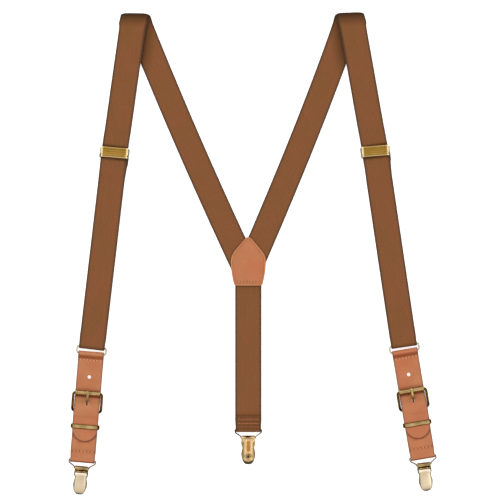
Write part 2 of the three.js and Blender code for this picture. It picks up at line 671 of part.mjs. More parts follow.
function keeperLoop() {
  const { width, height, sheet, length, cornerRadius } = KEEPER;
  const outline = roundedRectangle(-width / 2, 0, width / 2, height, cornerRadius);
  const inner = roundedRectangle(sheet - width / 2, sheet, width / 2 - sheet, height - sheet, cornerRadius - 1);
  outline.holes.push(inner);
  return slab(outline, -length / 2, length, 3).rotateX(Math.PI / 2).translate(0, KEEPER_AT, 0);
}

function addLeather(frame, name) {
  piece(frame, `${name}_billet`, billet(), leather);
  piece(frame, `${name}_chape`, chape(), leather);
  piece(frame, `${name}_buckle_frame`, buckleFrame(), antiqueBrass);
  piece(frame, `${name}_buckle_roller`, buckleRoller(), antiqueBrass);
  piece(frame, `${name}_buckle_prong`, buckleProng(), antiqueBrass);
  piece(frame, `${name}_keeper`, keeperLoop(), antiqueBrass);
  joint(frame, `${name}_leather_swing`, 0, RING.z);
  joint(frame, `${name}_roller_turn`, ROLLER_AT, BUCKLE.rollerZ);
  joint(frame, `${name}_prong_lift`, BAR_AT, CHAPE.z);
  joint(frame, `${name}_keeper_slide`, KEEPER_AT, CHAPE.z);
}

function addFront(group, side) {
  const { name, sign } = side;
  piece(group, `${name}_back_run`, backRun(side), elastic);

  const shoulder = frameAt(group, side.fold[0], side.fold[1], side.creaseTilt);
  piece(shoulder, `${name}_shoulder_bend`, shoulderBend(side), elastic);
  joint(shoulder, `${name}_shoulder_unfold`, 0, FOLD_Z);

  const drift = sign * Math.tan(meanCross(side)) * FOLD_RADIUS * (Math.PI / 2);
  const upperTurn = sign * side.upperTilt - side.creaseTilt;
  const leg = frameAt(shoulder, drift, 0, upperTurn);
  piece(leg, `${name}_front_run`, frontRun(Math.tan(radians(-upperTurn))), elastic);

  const lower = frameAt(leg, 0, -FOLD_TO_ADJUSTER, sign * (side.lowerTilt - side.upperTilt));
  piece(lower, `${name}_lower_run`, lowerRun(), elastic);
  piece(lower, `${name}_return_run`, returnRun(), elastic);
  joint(lower, `${name}_adjuster_slide`, 0, ADJUSTER_STRAP_Z);
  joint(lower, `${name}_loop_slide`, RING.span / 2 - ADJUSTER_TO_RING, RING.z);

  const adjuster = frameAt(lower, 0, 0, sign * (side.adjusterTilt - side.lowerTilt));
  piece(adjuster, `${name}_adjuster_frame`, adjusterFrame(), gold);
  piece(adjuster, `${name}_adjuster_plate`, adjusterPlate(), gold);
  const { radius, halfLength, y, z } = ADJUSTER_PIN;
  piece(adjuster, `${name}_adjuster_pin`, rod(radius, halfLength, y, z, 10), steelWire);
  joint(adjuster, `${name}_plate_flip`, y, z);

  const ringTurn = sign * (side.ringTilt - side.lowerTilt);
  const ring = frameAt(lower, 0, RING.span / 2 - ADJUSTER_TO_RING, ringTurn);
  const ringOutline = roundedRectangle(-RING.halfWidth, -RING.span, RING.halfWidth, 0, RING.cornerRadius);
  piece(ring, `${name}_ring`, wireLoop(ringOutline, RING.wire).translate(0, 0, RING.z), paleBrass);
  joint(ring, `${name}_ring_swing`, 0, RING.z);

  const hide = frameAt(ring, 0, -RING.span, sign * (side.leatherTilt - side.ringTilt));
  addLeather(hide, name);

  const bail = frameAt(hide, 0, BAIL_AT, sign * (side.bailTilt - side.leatherTilt));
  const reach = addBail(bail, name, CHAPE.z, CLIP_HEM_Z);
  addClip(frameAt(bail, 0, -reach, sign * (side.clipTilt - side.bailTilt)), name);
}

// ---------------------------------------------------------------- assembly

const parts = new THREE.Group();
addBack(parts);
SIDES.forEach((side) => addFront(parts, side));

// The origin is below the middle of the whole object, on the surface that it lies on.
const box = new THREE.Box3().setFromObject(parts, true);
const centre = box.getCenter(new THREE.Vector3());
parts.position.set(-centre.x, -centre.y, -box.min.z);

const group = new THREE.Group();
group.add(parts);
export default group;
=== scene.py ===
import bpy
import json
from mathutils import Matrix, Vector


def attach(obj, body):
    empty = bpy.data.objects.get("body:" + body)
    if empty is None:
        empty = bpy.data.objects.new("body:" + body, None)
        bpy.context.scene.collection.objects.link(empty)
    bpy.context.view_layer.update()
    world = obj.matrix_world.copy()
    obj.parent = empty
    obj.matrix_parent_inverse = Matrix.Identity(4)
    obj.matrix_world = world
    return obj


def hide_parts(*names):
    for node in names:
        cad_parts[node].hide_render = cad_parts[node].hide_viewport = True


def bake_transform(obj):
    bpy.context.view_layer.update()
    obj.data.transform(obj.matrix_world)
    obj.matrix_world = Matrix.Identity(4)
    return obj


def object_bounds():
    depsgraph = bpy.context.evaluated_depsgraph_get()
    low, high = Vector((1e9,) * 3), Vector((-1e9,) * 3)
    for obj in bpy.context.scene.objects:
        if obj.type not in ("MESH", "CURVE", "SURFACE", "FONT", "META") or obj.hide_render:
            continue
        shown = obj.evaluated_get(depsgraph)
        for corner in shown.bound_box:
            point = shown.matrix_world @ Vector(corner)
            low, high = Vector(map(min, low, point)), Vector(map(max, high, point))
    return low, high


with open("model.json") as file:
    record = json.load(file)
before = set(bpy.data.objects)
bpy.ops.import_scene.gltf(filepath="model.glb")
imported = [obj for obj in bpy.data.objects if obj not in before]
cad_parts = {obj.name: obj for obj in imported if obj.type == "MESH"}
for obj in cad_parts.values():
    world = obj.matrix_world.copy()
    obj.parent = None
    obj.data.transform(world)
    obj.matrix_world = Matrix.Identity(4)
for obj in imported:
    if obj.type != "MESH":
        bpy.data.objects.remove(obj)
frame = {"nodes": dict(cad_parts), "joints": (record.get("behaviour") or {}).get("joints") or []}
cad_box = [list(corner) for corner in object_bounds()]

import json
import math
import random

import bmesh
import bpy
import numpy as np
from mathutils import Matrix, Vector

MM = 0.001
UP = Vector((0, 0, 1))
SHARP_EDGE = math.radians(42)  # edges that turn more than this stay crisp
JOINTS = {joint["name"]: joint for joint in frame["joints"]}
rng = random.Random(7)

# ---------------------------------------------------------------- dimensions, in millimetres

WEB = {"half": 13.15, "thick": 1.5, "corner": 0.62}
HIDE = {"half": 12.85, "thick": 1.4, "corner": 0.38}
CHAPE_HALF = 12.6
LOW_Z = 0.75
HIGH_Z = 2.55
FOLD_RADIUS = 1.9
FOLD_Z = LOW_Z + FOLD_RADIUS
FOLD_TOP = FOLD_Z + FOLD_RADIUS
CREASE_DRIFT = 0.78  # how far the strap moves sideways over half of the fold
CREASE_SLOPE = 0.26  # how far from square the legs meet the crease
FOLD_ROLL = 8.5  # how far down the front leg the fold's roll reaches
FOLD_FLARE = 0.55  # how much wider each half of the strap is pressed at the fold
FOLD_REACH = 46.0  # how far down the front leg the shoulder piece goes
ADJUSTER_STRAP_Z = 5.55
ADJUSTER_HINGE = {"below": 4.1, "z": 7.75, "radius": 1.25}
YOKE_FOOT_TO_BAIL = 143.9
YOKE_STRAP_Z = 1.7
YOKE_JOIN = 10  # the straps' ends meet at this height inside the yoke
YOKE = {"height": 48.7, "foot": 14.2, "belly": 17.5, "belly_at": 24.5}
LEG_SHAPE = {
    "left": {"sign": -1, "aim": 10.8, "foot_tilt": 25.2, "top_tilt": 21.5},
    "right": {"sign": 1, "aim": 15.5, "foot_tilt": 23.5, "top_tilt": 18.4},
}
ROLLER_AT = -39
SLOT_AT = -49.2
BAR_AT = -57.5
KEEPER_AT = -72.7
TONGUE = {"end": -86.9, "length": 12.2, "across": 2.1, "down": 1.9}
CHAPE_SEAM = -66
CHAPE_Z = 3.05
CHAPE_TOP = CHAPE_Z + 0.85
CHAPE_LOW = CHAPE_Z - 0.85
CHAPE_STITCHES_AT = -97.3
HOLE = {"at": -23, "radius": 1.75}
RING_Z = 2.85
ROLLER_Z = 4.9
HEM_Z = 2.6
BAIL_WIRE = 0.7
RING_WIRE = 0.85
RING_LOOP_RADIUS = 2.0  # the elastic's middle, round the ring's wire
BUCKLE_WIRE = 1.3
CLIP_SHEET = 0.75
LEVER_SHEET = 0.6
ADJUSTER_SHEET = 0.7
EASED_EDGE = 0.15
VIEW_CENTRE = (1.7, 35.7, 0)
VIEW_WIDTH = 0.5  # metres
CORD_PITCH = 0.00127  # metres from cord to cord across the elastic
RIB_PITCH = 0.0012

# ---------------------------------------------------------------- frames


def frame_from(x, y, z, origin):
    """A frame in millimetres from its three directions and its origin."""
    return Matrix.Translation(origin) @ Matrix((x, y, z)).transposed().to_4x4() @ Matrix.Scale(MM, 4)


def frame_along(y, origin):
    """A flat frame whose Y runs a given way."""
    return frame_from(Vector((y.y, -y.x, 0)), y, UP, origin)


def spot_of(joint):
    """Where a hinge lies, in metres."""
    return Vector(JOINTS[joint]["pos_m"])


def plane_frame(joint, turn=1.0, shift=0.0):
    """A frame in the plane of the straps, under a hinge: X along its axis and Y up the strap."""
    x = Vector(JOINTS[joint]["axis"]) * turn
    x.z = 0
    x.normalize()
    y = UP.cross(x)
    origin = spot_of(joint)
    origin.z = 0
    return frame_from(x, y, UP, origin + y * shift * MM)


def height_of(joint):
    """A hinge's height above the surface, in millimetres."""
    return JOINTS[joint]["pos_m"][2] / MM


def joint_at(joint, place):
    """Where a hinge lies in a frame, in millimetres."""
    return place.inverted() @ spot_of(joint)


def clip_frame(name):
    """A clip's own frame, with its plate's outer face at z = 0 and its hem's axis at y = 0."""
    joint = f"{name}_clip_swing"
    x = Vector(JOINTS[joint]["axis"])
    z = Vector((0, 0, 1 if x.x > 0 else -1))
    return frame_from(x, z.cross(x), z, spot_of(joint) - z * HEM_Z * MM)


back_bail = spot_of("back_bail_swing")
ROOT = Matrix.Translation((back_bail.x, back_bail.y + YOKE_FOOT_TO_BAIL * MM, 0)) @ Matrix.Scale(MM, 4)

# ---------------------------------------------------------------- materials


def linear(*srgb):
    """A colour given as on a screen, from 0 to 255, as the shader's linear colour."""
    shares = [value / 255 for value in srgb]
    return tuple(s / 12.92 if s <= 0.04045 else ((s + 0.055) / 1.055) ** 2.4 for s in shares) + (1.0,)


class Paint:
    """A material and short ways to add nodes to it."""

    def __init__(self, name):
        self.material = bpy.data.materials.new(name)
        self.material.use_nodes = True
        self.tree = self.material.node_tree
        self.surface = self.tree.nodes["Principled BSDF"]

    def node(self, kind, inputs=(), **settings):
        made = self.tree.nodes.new("ShaderNode" + kind)
        for key, value in settings.items():
            setattr(made, key, value)
        for key, value in dict(inputs).items():
            self.feed(made.inputs[key], value)
        return made

    def feed(self, socket, value):
        if isinstance(value, bpy.types.NodeSocket):
            self.tree.links.new(value, socket)
        else:
            socket.default_value = value

    def maths(self, operation, first, second=0.0, clamp=False):
        made = self.node("Math", {0: first, 1: second}, operation=operation, use_clamp=clamp)
        return made.outputs[0]

    def times(self, first, second):
        return self.maths("MULTIPLY", first, second)

    def plus(self, first, second):
        return self.maths("ADD", first, second)

    def place(self):
        return self.node("TexCoord").outputs["Object"]

    def stretched(self, vector, scale):
        return self.node("Mapping", {"Vector": vector, "Scale": scale}).outputs[0]

    def look(self, colour, **settings):
        """Feeds the surface its colour and other sockets, whose names have _ for each space."""
        self.feed(self.surface.inputs["Base Color"], colour)
        for name, value in settings.items():
            self.feed(self.surface.inputs[name.replace("_", " ")], value)

    def mix(self, share, first, second, blend="MIX"):
        made = self.node("Mix", {0: share, 6: first, 7: second}, data_type="RGBA", blend_type=blend)
        return made.outputs[2]

    def attribute(self, name):
        return self.node("Attribute", attribute_name=name).outputs["Fac"]

    def noise(self, vector, scale, detail=2.0):
        made = self.node("TexNoise", {"Vector": vector, "Scale": scale, "Detail": detail})
        return made.outputs["Fac"]

    def spread(self, value, low, high):
        """A noise value stretched over a range."""
        limits = {"From Min": 0.3, "From Max": 0.7, "To Min": low, "To Max": high}
        return self.node("MapRange", {"Value": value, **limits}).outputs["Result"]

    def bump(self, height, distance, strength=1.0):
        made = self.node("Bump", {"Height": height, "Distance": distance, "Strength": strength})
        self.feed(self.surface.inputs["Normal"], made.outputs["Normal"])

    def shaded(self, colour, green=1.0, blue=1.0):
        """The colour, darker where the piece's shade attribute paints shade, and with a painted highlight
        where that is below zero.

        Powers above 1 make the dark parts redder and the light parts paler.
        """
        kept = self.maths("SUBTRACT", 1.0, self.attribute("shade"))
        powers = [self.maths("POWER", kept, power) for power in (1.0, green, blue)]
        tint = self.node("CombineColor", dict(enumerate(powers))).outputs[0]
        return self.mix(1.0, colour, tint, "MULTIPLY")


def elastic_material():
    """Woven elastic: cords along it, ribs across it, painted shade in the weave's hollows and painted shade
    along its edges.
    """
    paint = Paint("elastic_webbing")
    uv = paint.node("UVMap", uv_map="along").outputs["UV"]
    parts = paint.node("SeparateXYZ", {0: uv})
    across, along = parts.outputs[0], parts.outputs[1]
    cord_count = paint.times(across, 1 / CORD_PITCH)
    cord = paint.maths("ABSOLUTE", paint.maths("SINE", paint.times(cord_count, math.pi)))
    odd = paint.times(paint.maths("FLOOR", cord_count), math.pi)
    rib = paint.maths("SINE", paint.plus(paint.times(along, 2 * math.pi / RIB_PITCH), odd))
    weave = paint.plus(paint.times(cord, 0.6), paint.times(rib, 0.25))
    streak = paint.spread(paint.noise(paint.stretched(uv, (700.0, 45.0, 1.0)), 1.0, 3.0), 0.0, 1.0)
    patch = paint.spread(paint.noise(paint.stretched(uv, (55.0, 28.0, 1.0)), 1.0), 0.0, 1.0)
    colour = paint.mix(patch, linear(126, 80, 40), linear(134, 79, 46))
    colour = paint.mix(paint.times(streak, 0.3), colour, linear(112, 71, 38))
    # painted shade in the weave's hollows, where the cords and ribs sink
    valley_shade = paint.maths("SUBTRACT", 0.85, weave, clamp=True)
    colour = paint.mix(paint.times(valley_shade, 0.3), colour, linear(84, 52, 30))
    # painted shade along the edges, where the strap turns down at its sides
    colour = paint.mix(paint.times(paint.attribute("edge"), 0.9), colour, linear(74, 51, 34))
    sheen = {"Sheen_Weight": 0.04, "Sheen_Roughness": 0.5, "Sheen_Tint": linear(190, 140, 100)}
    paint.look(paint.shaded(colour, 1.0, 1.5), Roughness=0.85, Specular_IOR_Level=0.25, **sheen)
    paint.bump(weave, 0.00022)
    return paint.material


def leather_material():
    """Tan smooth leather: patchy dye, fine grain with pores, and darker edges: burnish with painted shade
    where the edge turns down.
    """
    paint = Paint("tan_leather")
    place = paint.place()
    patch = paint.spread(paint.noise(place, 90.0, 3.0), 0.0, 1.0)
    warm = paint.spread(paint.noise(place, 38.0, 1.0), 0.0, 1.0)
    grain = paint.noise(place, 1300.0, 4.0)
    cells = paint.node("TexVoronoi", {"Vector": place, "Scale": 1500.0}).outputs["Distance"]
    colour = paint.mix(patch, linear(169, 108, 68), linear(182, 119, 79))
    colour = paint.mix(paint.times(warm, 0.8), colour, linear(176, 98, 60))
    colour = paint.mix(paint.times(paint.spread(grain, 0.0, 1.0), 0.24), colour, linear(150, 86, 52))
    # darker edges: burnish, with painted shade where the edge turns down
    colour = paint.mix(paint.times(paint.attribute("edge"), 0.85), colour, linear(116, 82, 70))
    roughness = paint.spread(grain, 0.5, 0.66)
    paint.look(paint.shaded(colour, 1.7, 2.6), Specular_IOR_Level=0.3, Roughness=roughness)
    paint.bump(paint.plus(paint.times(grain, 0.6), paint.times(cells, 0.5)), 0.00012)
    return paint.material


def thread_material():
    """Waxed thread: twisted strands, a little lighter than the leather."""
    paint = Paint("waxed_thread")
    wave = {"Vector": paint.place(), "Scale": 1400.0, "Distortion": 1.0}
    twist = paint.node("TexWave", wave).outputs["Fac"]
    colour = paint.mix(twist, linear(200, 134, 92), linear(216, 152, 108))
    paint.look(paint.shaded(colour, 1.5, 2.0), Roughness=0.55)
    paint.bump(twist, 0.0001)
    return paint.material


def metal_material(name, bright, dull, roughness, wear=0.5, painted_light_colour=None, tint=(1.25, 2.0)):
    """Plated metal: patchy tarnish and fine scratches, with painted shade and painted highlights from its
    shade attribute, and a painted light colour mixed in by its edge attribute.
    """
    paint = Paint(name)
    place = paint.place()
    tarnish = paint.spread(paint.noise(place, 150.0, 4.0), 0.0, wear)
    scratch = paint.noise(paint.stretched(place, (900.0, 6000.0, 2500.0)), 1.0, 3.0)
    colour = paint.shaded(paint.mix(tarnish, bright, dull), *tint)
    # the painted light colour: a painted highlight on the gold and the champagne, painted shade on the clip
    # brass
    if painted_light_colour:
        colour = paint.mix(paint.attribute("edge"), colour, painted_light_colour)
    paint.look(colour, Metallic=1.0, Roughness=paint.spread(scratch, roughness * 0.85, roughness * 1.15))
    paint.bump(scratch, 0.00003)
    return paint.material


def plastic_material():
    """Dark moulded plastic with a fine satin texture."""
    paint = Paint("clip_plastic")
    grain = paint.noise(paint.place(), 3000.0, 3.0)
    colour = paint.mix(grain, linear(46, 38, 32), linear(62, 52, 44))
    paint.look(colour, Roughness=paint.spread(grain, 0.5, 0.65))
    paint.bump(grain, 0.00005)
    return paint.material


def floor_material():
    """Seamless pale paper, lit a little from below like a light table."""
    paint = Paint("paper_floor")
    fibre = paint.noise(paint.place(), 900.0, 3.0)
    colour = paint.mix(fibre, (0.9, 0.9, 0.9, 1), (0.93, 0.93, 0.93, 1))
    glow = {"Emission_Color": (1, 1, 1, 1), "Emission_Strength": 0.6}
    paint.look(colour, Roughness=0.95, Specular_IOR_Level=0.0, **glow)
    return paint.material


ELASTIC = elastic_material()
LEATHER = leather_material()
THREAD = thread_material()
# the gold's painted light colour is a painted highlight on the adjuster's lips
GOLD = metal_material(
    "gold_plate", linear(200, 163, 90), linear(172, 136, 66), 0.28, painted_light_colour=linear(252, 232, 188)
)
PALE_BRASS = metal_material("pale_brass", linear(194, 186, 156), linear(158, 148, 120), 0.22)
ANTIQUE = metal_material("antique_brass", linear(190, 162, 108), linear(116, 88, 50), 0.26, wear=0.7)
# the clip brass's painted light colour is painted shade in the clip's channel
CLIP_BRASS = metal_material(
    "clip_brass", linear(226, 192, 144), linear(192, 154, 104), 0.24, 0.5, linear(196, 138, 68), (1.0, 1.25)
)
# the champagne's painted light colour is a painted highlight on the lever's band
CHAMPAGNE = metal_material(
    "champagne_plate", linear(214, 196, 166), linear(196, 178, 146), 0.36, 0.5, linear(250, 240, 222), (1, 1)
)
WIRE = metal_material("plated_wire", linear(128, 118, 100), linear(88, 78, 60), 0.3)
STEEL = metal_material("plated_steel", linear(186, 182, 170), linear(150, 144, 130), 0.25)
PLASTIC = plastic_material()

# ---------------------------------------------------------------- mesh tools


def new_object(name, points, faces, place, material, **values):
    """An object from points in millimetres. Each value is one number, or one for each point."""
    mesh = bpy.data.meshes.new(name)
    matrix = np.array(place)
    spots = np.asarray(points, float) @ matrix[:3, :3].T + matrix[:3, 3]
    mesh.from_pydata(spots.tolist(), [], faces)
    for key, given in values.items():
        if given is not None:
            numbers = np.resize(np.asarray(given, np.float32), len(points))
            mesh.attributes.new(key, "FLOAT", "POINT").data.foreach_set("value", numbers)
    mesh.materials.append(material)
    obj = bpy.data.objects.new(name, mesh)
    bpy.context.scene.collection.objects.link(obj)
    return obj


def build(name, points, faces, place, material, uv=None, shade=None, edge=None):
    """A finished object with smooth faces, and distances along and across it where it has a weave."""
    obj = new_object(name, points, faces, place, material, shade=shade, edge=edge)
    if uv is not None:
        layer = obj.data.uv_layers.new(name="along")
        corners = np.zeros(len(obj.data.loops), int)
        obj.data.loops.foreach_get("vertex_index", corners)
        layer.data.foreach_set("uv", (np.asarray(uv, float) * MM)[corners].ravel())
    tidy_normals(obj)
    return obj


def shade_smooth(obj):
    obj.data.shade_smooth()
    obj.data.set_sharp_from_angle(angle=SHARP_EDGE)


def tidy_normals(obj):
    work = bmesh.new()
    work.from_mesh(obj.data)
    bmesh.ops.recalc_face_normals(work, faces=work.faces)
    work.to_mesh(obj.data)
    work.free()
    shade_smooth(obj)


def settle(obj):
    """Applies the piece's modifiers to its mesh and evens out its normals."""
    depsgraph = bpy.context.evaluated_depsgraph_get()
    made = bpy.data.meshes.new_from_object(obj.evaluated_get(depsgraph))
    obj.modifiers.clear()
    obj.data = made
    tidy_normals(obj)


def cut_hole(obj, outline, low, high, place):
    """Cuts an upright hole through a piece."""
    points = [(x, y, z) for z in (low, high) for x, y in outline]
    cutter = build("cutter", points, prism_faces(2, len(outline)), place, LEATHER)
    modifier = obj.modifiers.new("cut", "BOOLEAN")
    modifier.operation = "DIFFERENCE"
    modifier.solver = "EXACT"
    modifier.object = cutter
    settle(obj)
    bpy.data.objects.remove(cutter)


def fit(obj, body, slot, *nodes):
    """Rides a piece on a body and lets it stand for CAD nodes, which it hides; slot is not used."""
    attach(obj, body)
    if nodes:
        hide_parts(*nodes)


def ring_faces(rows, count, closed=False):
    """Faces between successive rings of points."""
    faces = []
    for row in range(rows if closed else rows - 1):
        here, there = row * count, ((row + 1) % rows) * count
        for k in range(count):
            after = (k + 1) % count
            faces.append((here + k, here + after, there + after, there + k))
    return faces


def prism_faces(rows, count):
    """Faces between successive rings of points, closed at both ends."""
    ends = [tuple(range(count)), tuple(range((rows - 1) * count, rows * count))]
    return ring_faces(rows, count) + ends


def grid_faces(rows, count):
    """Faces of an open grid of points."""
    faces = []
    for row in range(rows - 1):
        here, there = row * count, (row + 1) * count
        faces += [(here + k, here + k + 1, there + k + 1, there + k) for k in range(count - 1)]
    return faces


def bezier(first, second, third, fourth, count):
    """Points on a cubic curve, without its first point."""
    spots = []
    for k in range(1, count + 1):
        t = k / count
        weights = ((1 - t) ** 3, 3 * t * (1 - t) ** 2, 3 * t * t * (1 - t), t**3)
        corners = (first, second, third, fourth)
        spots.append(tuple(sum(w * p[axis] for w, p in zip(weights, corners)) for axis in (0, 1)))
    return spots


def smooth(value, low, high):
    """0 below low, 1 above high, and an even change between."""
    t = min(1.0, max(0.0, (value - low) / (high - low)))
    return t * t * (3 - 2 * t)


def fade(value, low, high):
    """1 below low, 0 above high, and an even change between."""
    return 1 - smooth(value, low, high)


def circle(x, y, radius, count):
    """Points evenly round a circle."""
    turns = [2 * math.pi * k / count for k in range(count)]
    return [(x + radius * math.cos(turn), y + radius * math.sin(turn)) for turn in turns]


class SidePath:
    """A line in side view: y along the strap and z its height."""

    def __init__(self, y, z):
        self.points = [(y, z)]

    def line(self, y, z, step=3.0):
        start = self.points[-1]
        count = max(1, round(math.dist(start, (y, z)) / step))
        for k in range(1, count + 1):
            here = (start[0] + (y - start[0]) * k / count, start[1] + (z - start[1]) * k / count)
            self.points.append(here)
        return self

    def ease(self, y, z, count=10):
        start = self.points[-1]
        middle = (start[0] + y) / 2
        self.points += bezier(start, (middle, start[1]), (middle, z), (y, z), count)
        return self

    def arc(self, y, z, radius, start, end, count=14):
        for k in range(1, count + 1):
            turn = math.radians(start + (end - start) * k / count)
            self.points.append((y + radius * math.cos(turn), z + radius * math.sin(turn)))
        return self


def section(thick, corner, steps=18, corner_steps=3):
    """Points round a strap's cross-section: share of the half width, distance out beyond it, height."""
    half = thick / 2
    across = [math.sin(math.pi / 2 * (2 * k / steps - 1)) for k in range(steps + 1)]
    top = [(s, 0.0, half) for s in across]
    low = [(-s, 0.0, -half) for s in across]
    turns = [math.pi * k / (2 * corner_steps) for k in range(1, 2 * corner_steps)]
    flat = half - corner
    flats = [math.copysign(flat, math.cos(t)) for t in turns]
    right = [(1.0, corner * math.sin(t), corner * math.cos(t) + f) for t, f in zip(turns, flats)]
    left = [(-1.0, -out, -height) for _, out, height in right]
    return top + right + low + left


class Row:
    """A strap's cross-section: its middle, half width as a vector, face direction and distance along."""

    def __init__(self, centre, across, normal, along, bow=None):
        self.centre = Vector(centre)
        self.across = Vector(across)
        self.normal = Vector(normal)
        self.along = along
        self.bow = bow


def strap(name, rows, form, place, material, shade=None, capped=True, edge_depth=2.7):
    """A strap through its rows. shade(spot, row) gives its painted shade; its edges get painted shade, with
    burnish on leather, as far in as edge_depth.
    """
    shape = section(form["thick"], form["corner"])
    points, uv, shades, edges = [], [], [], []
    for row in rows:
        half = row.across.length
        unit = row.across / half if half > 1e-6 else Vector((1, 0, 0))
        inner = max(0.02, half - form["corner"])
        for share, out, height in shape:
            offset = share * inner + out
            spot = row.centre + unit * offset + row.normal * height
            if row.bow:
                spot = spot + row.bow(share)
            points.append(spot)
            uv.append((offset, row.along))
            shades.append(shade(spot, row) if shade else 0.0)
            edges.append(fade(half - abs(offset), 0.25 * edge_depth, edge_depth))
    count = len(shape)
    faces = prism_faces(len(rows), count) if capped else ring_faces(len(rows), count)
    return build(name, points, faces, place, material, uv, shades, edges)


def side_rows(path, half, along=0.0):
    """Rows of a strap along a side-view path, face on the left of the way it runs. half may vary with y."""
    rows = []
    points = path.points
    for k, (y, z) in enumerate(points):
        before, after = points[max(0, k - 1)], points[min(len(points) - 1, k + 1)]
        step = Vector((after[0] - before[0], after[1] - before[1])).normalized()
        if k:
            along += math.dist(points[k - 1], (y, z))
        width = half(y, k) if callable(half) else half
        rows.append(Row((0, y, z), (width, 0, 0), (0, step.y, -step.x), along))
    return rows


def wire_loop(name, outline, radius, sides, place, material, shade_of=None):
    """A closed round wire along a flat outline. shade_of(spot) darkens it."""
    spots = [Vector((x, y, 0)) for x, y in outline]
    points = []
    for k, spot in enumerate(spots):
        into = (spot - spots[k - 1]).normalized()
        out = (spots[(k + 1) % len(spots)] - spot).normalized()
        tangent = (into + out).normalized()
        side = tangent.cross(UP)
        stretch = 1 / max(0.5, tangent.dot(into))
        for turn in range(sides):
            angle = 2 * math.pi * turn / sides
            points.append(spot + side * radius * stretch * math.cos(angle) + UP * radius * math.sin(angle))
    shade = [shade_of(point) for point in points] if shade_of else 0.0
    return build(name, points, ring_faces(len(spots), sides, True), place, material, shade=shade)


def side_plates(name, outline, inner, outer, place, material, shade):
    """Two upright plates, one on each side, between two distances from the middle."""
    made = []
    for side in (-1, 1):
        points = [(side * x, y, z) for x in (inner, outer) for y, z in outline]
        made.append(build(name, points, prism_faces(2, len(outline)), place, material, shade=shade))
    return made


def turned(name, profile, y, z, sides, place, shade_of):
    """A ring turned about an axis along X, from its closed profile of distances along and radii."""
    points = [(x, *spot) for x, radius in profile for spot in circle(y, z, radius, sides)]
    shades = [shade_of(radius) for _, radius in profile for _ in range(sides)]
    return build(name, points, ring_faces(len(profile), sides, True), place, ANTIQUE, shade=shades)


def round_rectangle(left, bottom, right, top, radius, steps=6):
    """A rectangle with rounded corners, anticlockwise."""
    corners = ((right, bottom, -90), (right, top, 0), (left, top, 90), (left, bottom, 180))
    made = []
    for x, y, start in corners:
        centre_x = x - math.copysign(radius, x - (left + right) / 2)
        centre_y = y - math.copysign(radius, y - (bottom + top) / 2)
        for k in range(steps + 1):
            turn = math.radians(start + 90 * k / steps)
            made.append((centre_x + radius * math.cos(turn), centre_y + radius * math.sin(turn)))
    return made


def dense(outline, step=1.0):
    """A closed outline with points no further apart than a step."""
    made = []
    for k, spot in enumerate(outline):
        after = outline[(k + 1) % len(outline)]
        count = max(1, math.ceil(math.dist(spot, after) / step))
        made += [tuple(a + (b - a) * j / count for a, b in zip(spot, after)) for j in range(count)]
    return made


def turned_loops(name, outline, centre, rings, place, material):
    """A plate: its outline drawn in towards a centre. Each ring gives the distance, height and shade."""
    points, shades = [], []
    for distance, height, shade in rings:
        for x, y in outline:
            away = Vector((x - centre[0], y - centre[1]))
            keep = max(0.0, 1 - distance / away.length)
            points.append((centre[0] + away.x * keep, centre[1] + away.y * keep, height))
            shades.append(shade)
    return build(name, points, prism_faces(len(rings), len(outline)), place, material, shade=shades)


def lumps(name, spots, place, material):
    """Small rounded pieces, each (centre, direction, half length, half width, height, shade)."""
    points, faces, shades = [], [], []
    rings, sides = 5, 10
    for centre, direction, half_long, half_wide, height, shade in spots:
        centre, along = Vector(centre), Vector(direction).normalized()
        side = Vector((-along.y, along.x, 0)).normalized()
        start = len(points)
        for ring in range(rings + 1):
            rise = math.pi * (ring / rings - 0.5)
            for k in range(sides):
                turn = 2 * math.pi * k / sides
                flat = math.cos(rise) if 0 < ring < rings else 0.02
                reach = along * half_long * flat * math.cos(turn) + side * half_wide * flat * math.sin(turn)
                points.append(centre + reach + Vector((0, 0, height * math.sin(rise))))
                shades.append(shade)
        faces += [tuple(start + corner for corner in face) for face in prism_faces(rings + 1, sides)]
    return build(name, points, faces, place, material, shade=shades)


def stitch_row(name, left, right, y, height, count, place, body, size, shade=0.0, slot="leather"):
    """A row of stitches with the needle holes between. size is half length, half width and rise."""
    start, end = Vector((left, y, 0)), Vector((right, y, 0))
    spots = []
    for k in range(count):
        middle = start.lerp(end, (k + 0.5) / count)
        drift = Vector((rng.uniform(-0.12, 0.12), rng.uniform(-0.1, 0.1), 0))
        lean = (end - start).normalized() + Vector((0, rng.uniform(-0.12, 0.12), 0))
        spots.append((middle + drift + Vector((0, 0, height)), lean, *size, shade))
    # the needle holes as dark lumps: painted shade in the holes
    for k in range(count + 1):
        hole = start.lerp(end, k / count)
        spots.append((hole + Vector((0, 0, height - 0.1)), end - start, 0.58, 0.7, 0.3, 0.7))
    fit(lumps(name, spots, place, THREAD), body, slot)


def formed_sheet(name, grid, thick, place, material, shade, painted_light=None):
    """Stamped sheet metal: a grid of points thickened away from its face, with eased edges."""
    points = [spot for row in grid for spot in row]
    faces = grid_faces(len(grid), len(grid[0]))
    # painted_light is how much of the material's painted light colour each point takes, through the edge
    # attribute
    obj = new_object(name, points, faces, place, material, shade=shade, edge=painted_light)
    solidify = obj.modifiers.new("thickness", "SOLIDIFY")
    solidify.thickness = thick * MM
    solidify.offset = -1
    bevel = obj.modifiers.new("eased", "BEVEL")
    bevel.width = EASED_EDGE * MM
    bevel.segments = 2
    bevel.angle_limit = math.radians(50)
    settle(obj)
    return obj


def merged(name, *objects):
    """Several objects as one piece."""
    work = bmesh.new()
    for obj in objects:
        work.from_mesh(obj.data)
    mesh = bpy.data.meshes.new(name)
    work.to_mesh(mesh)
    work.free()
    mesh.materials.append(objects[0].data.materials[0])
    made = bpy.data.objects.new(name, mesh)
    bpy.context.scene.collection.objects.link(made)
    for obj in objects:
        bpy.data.objects.remove(obj)
    shade_smooth(made)
    return made


# ---------------------------------------------------------------- bail and clip


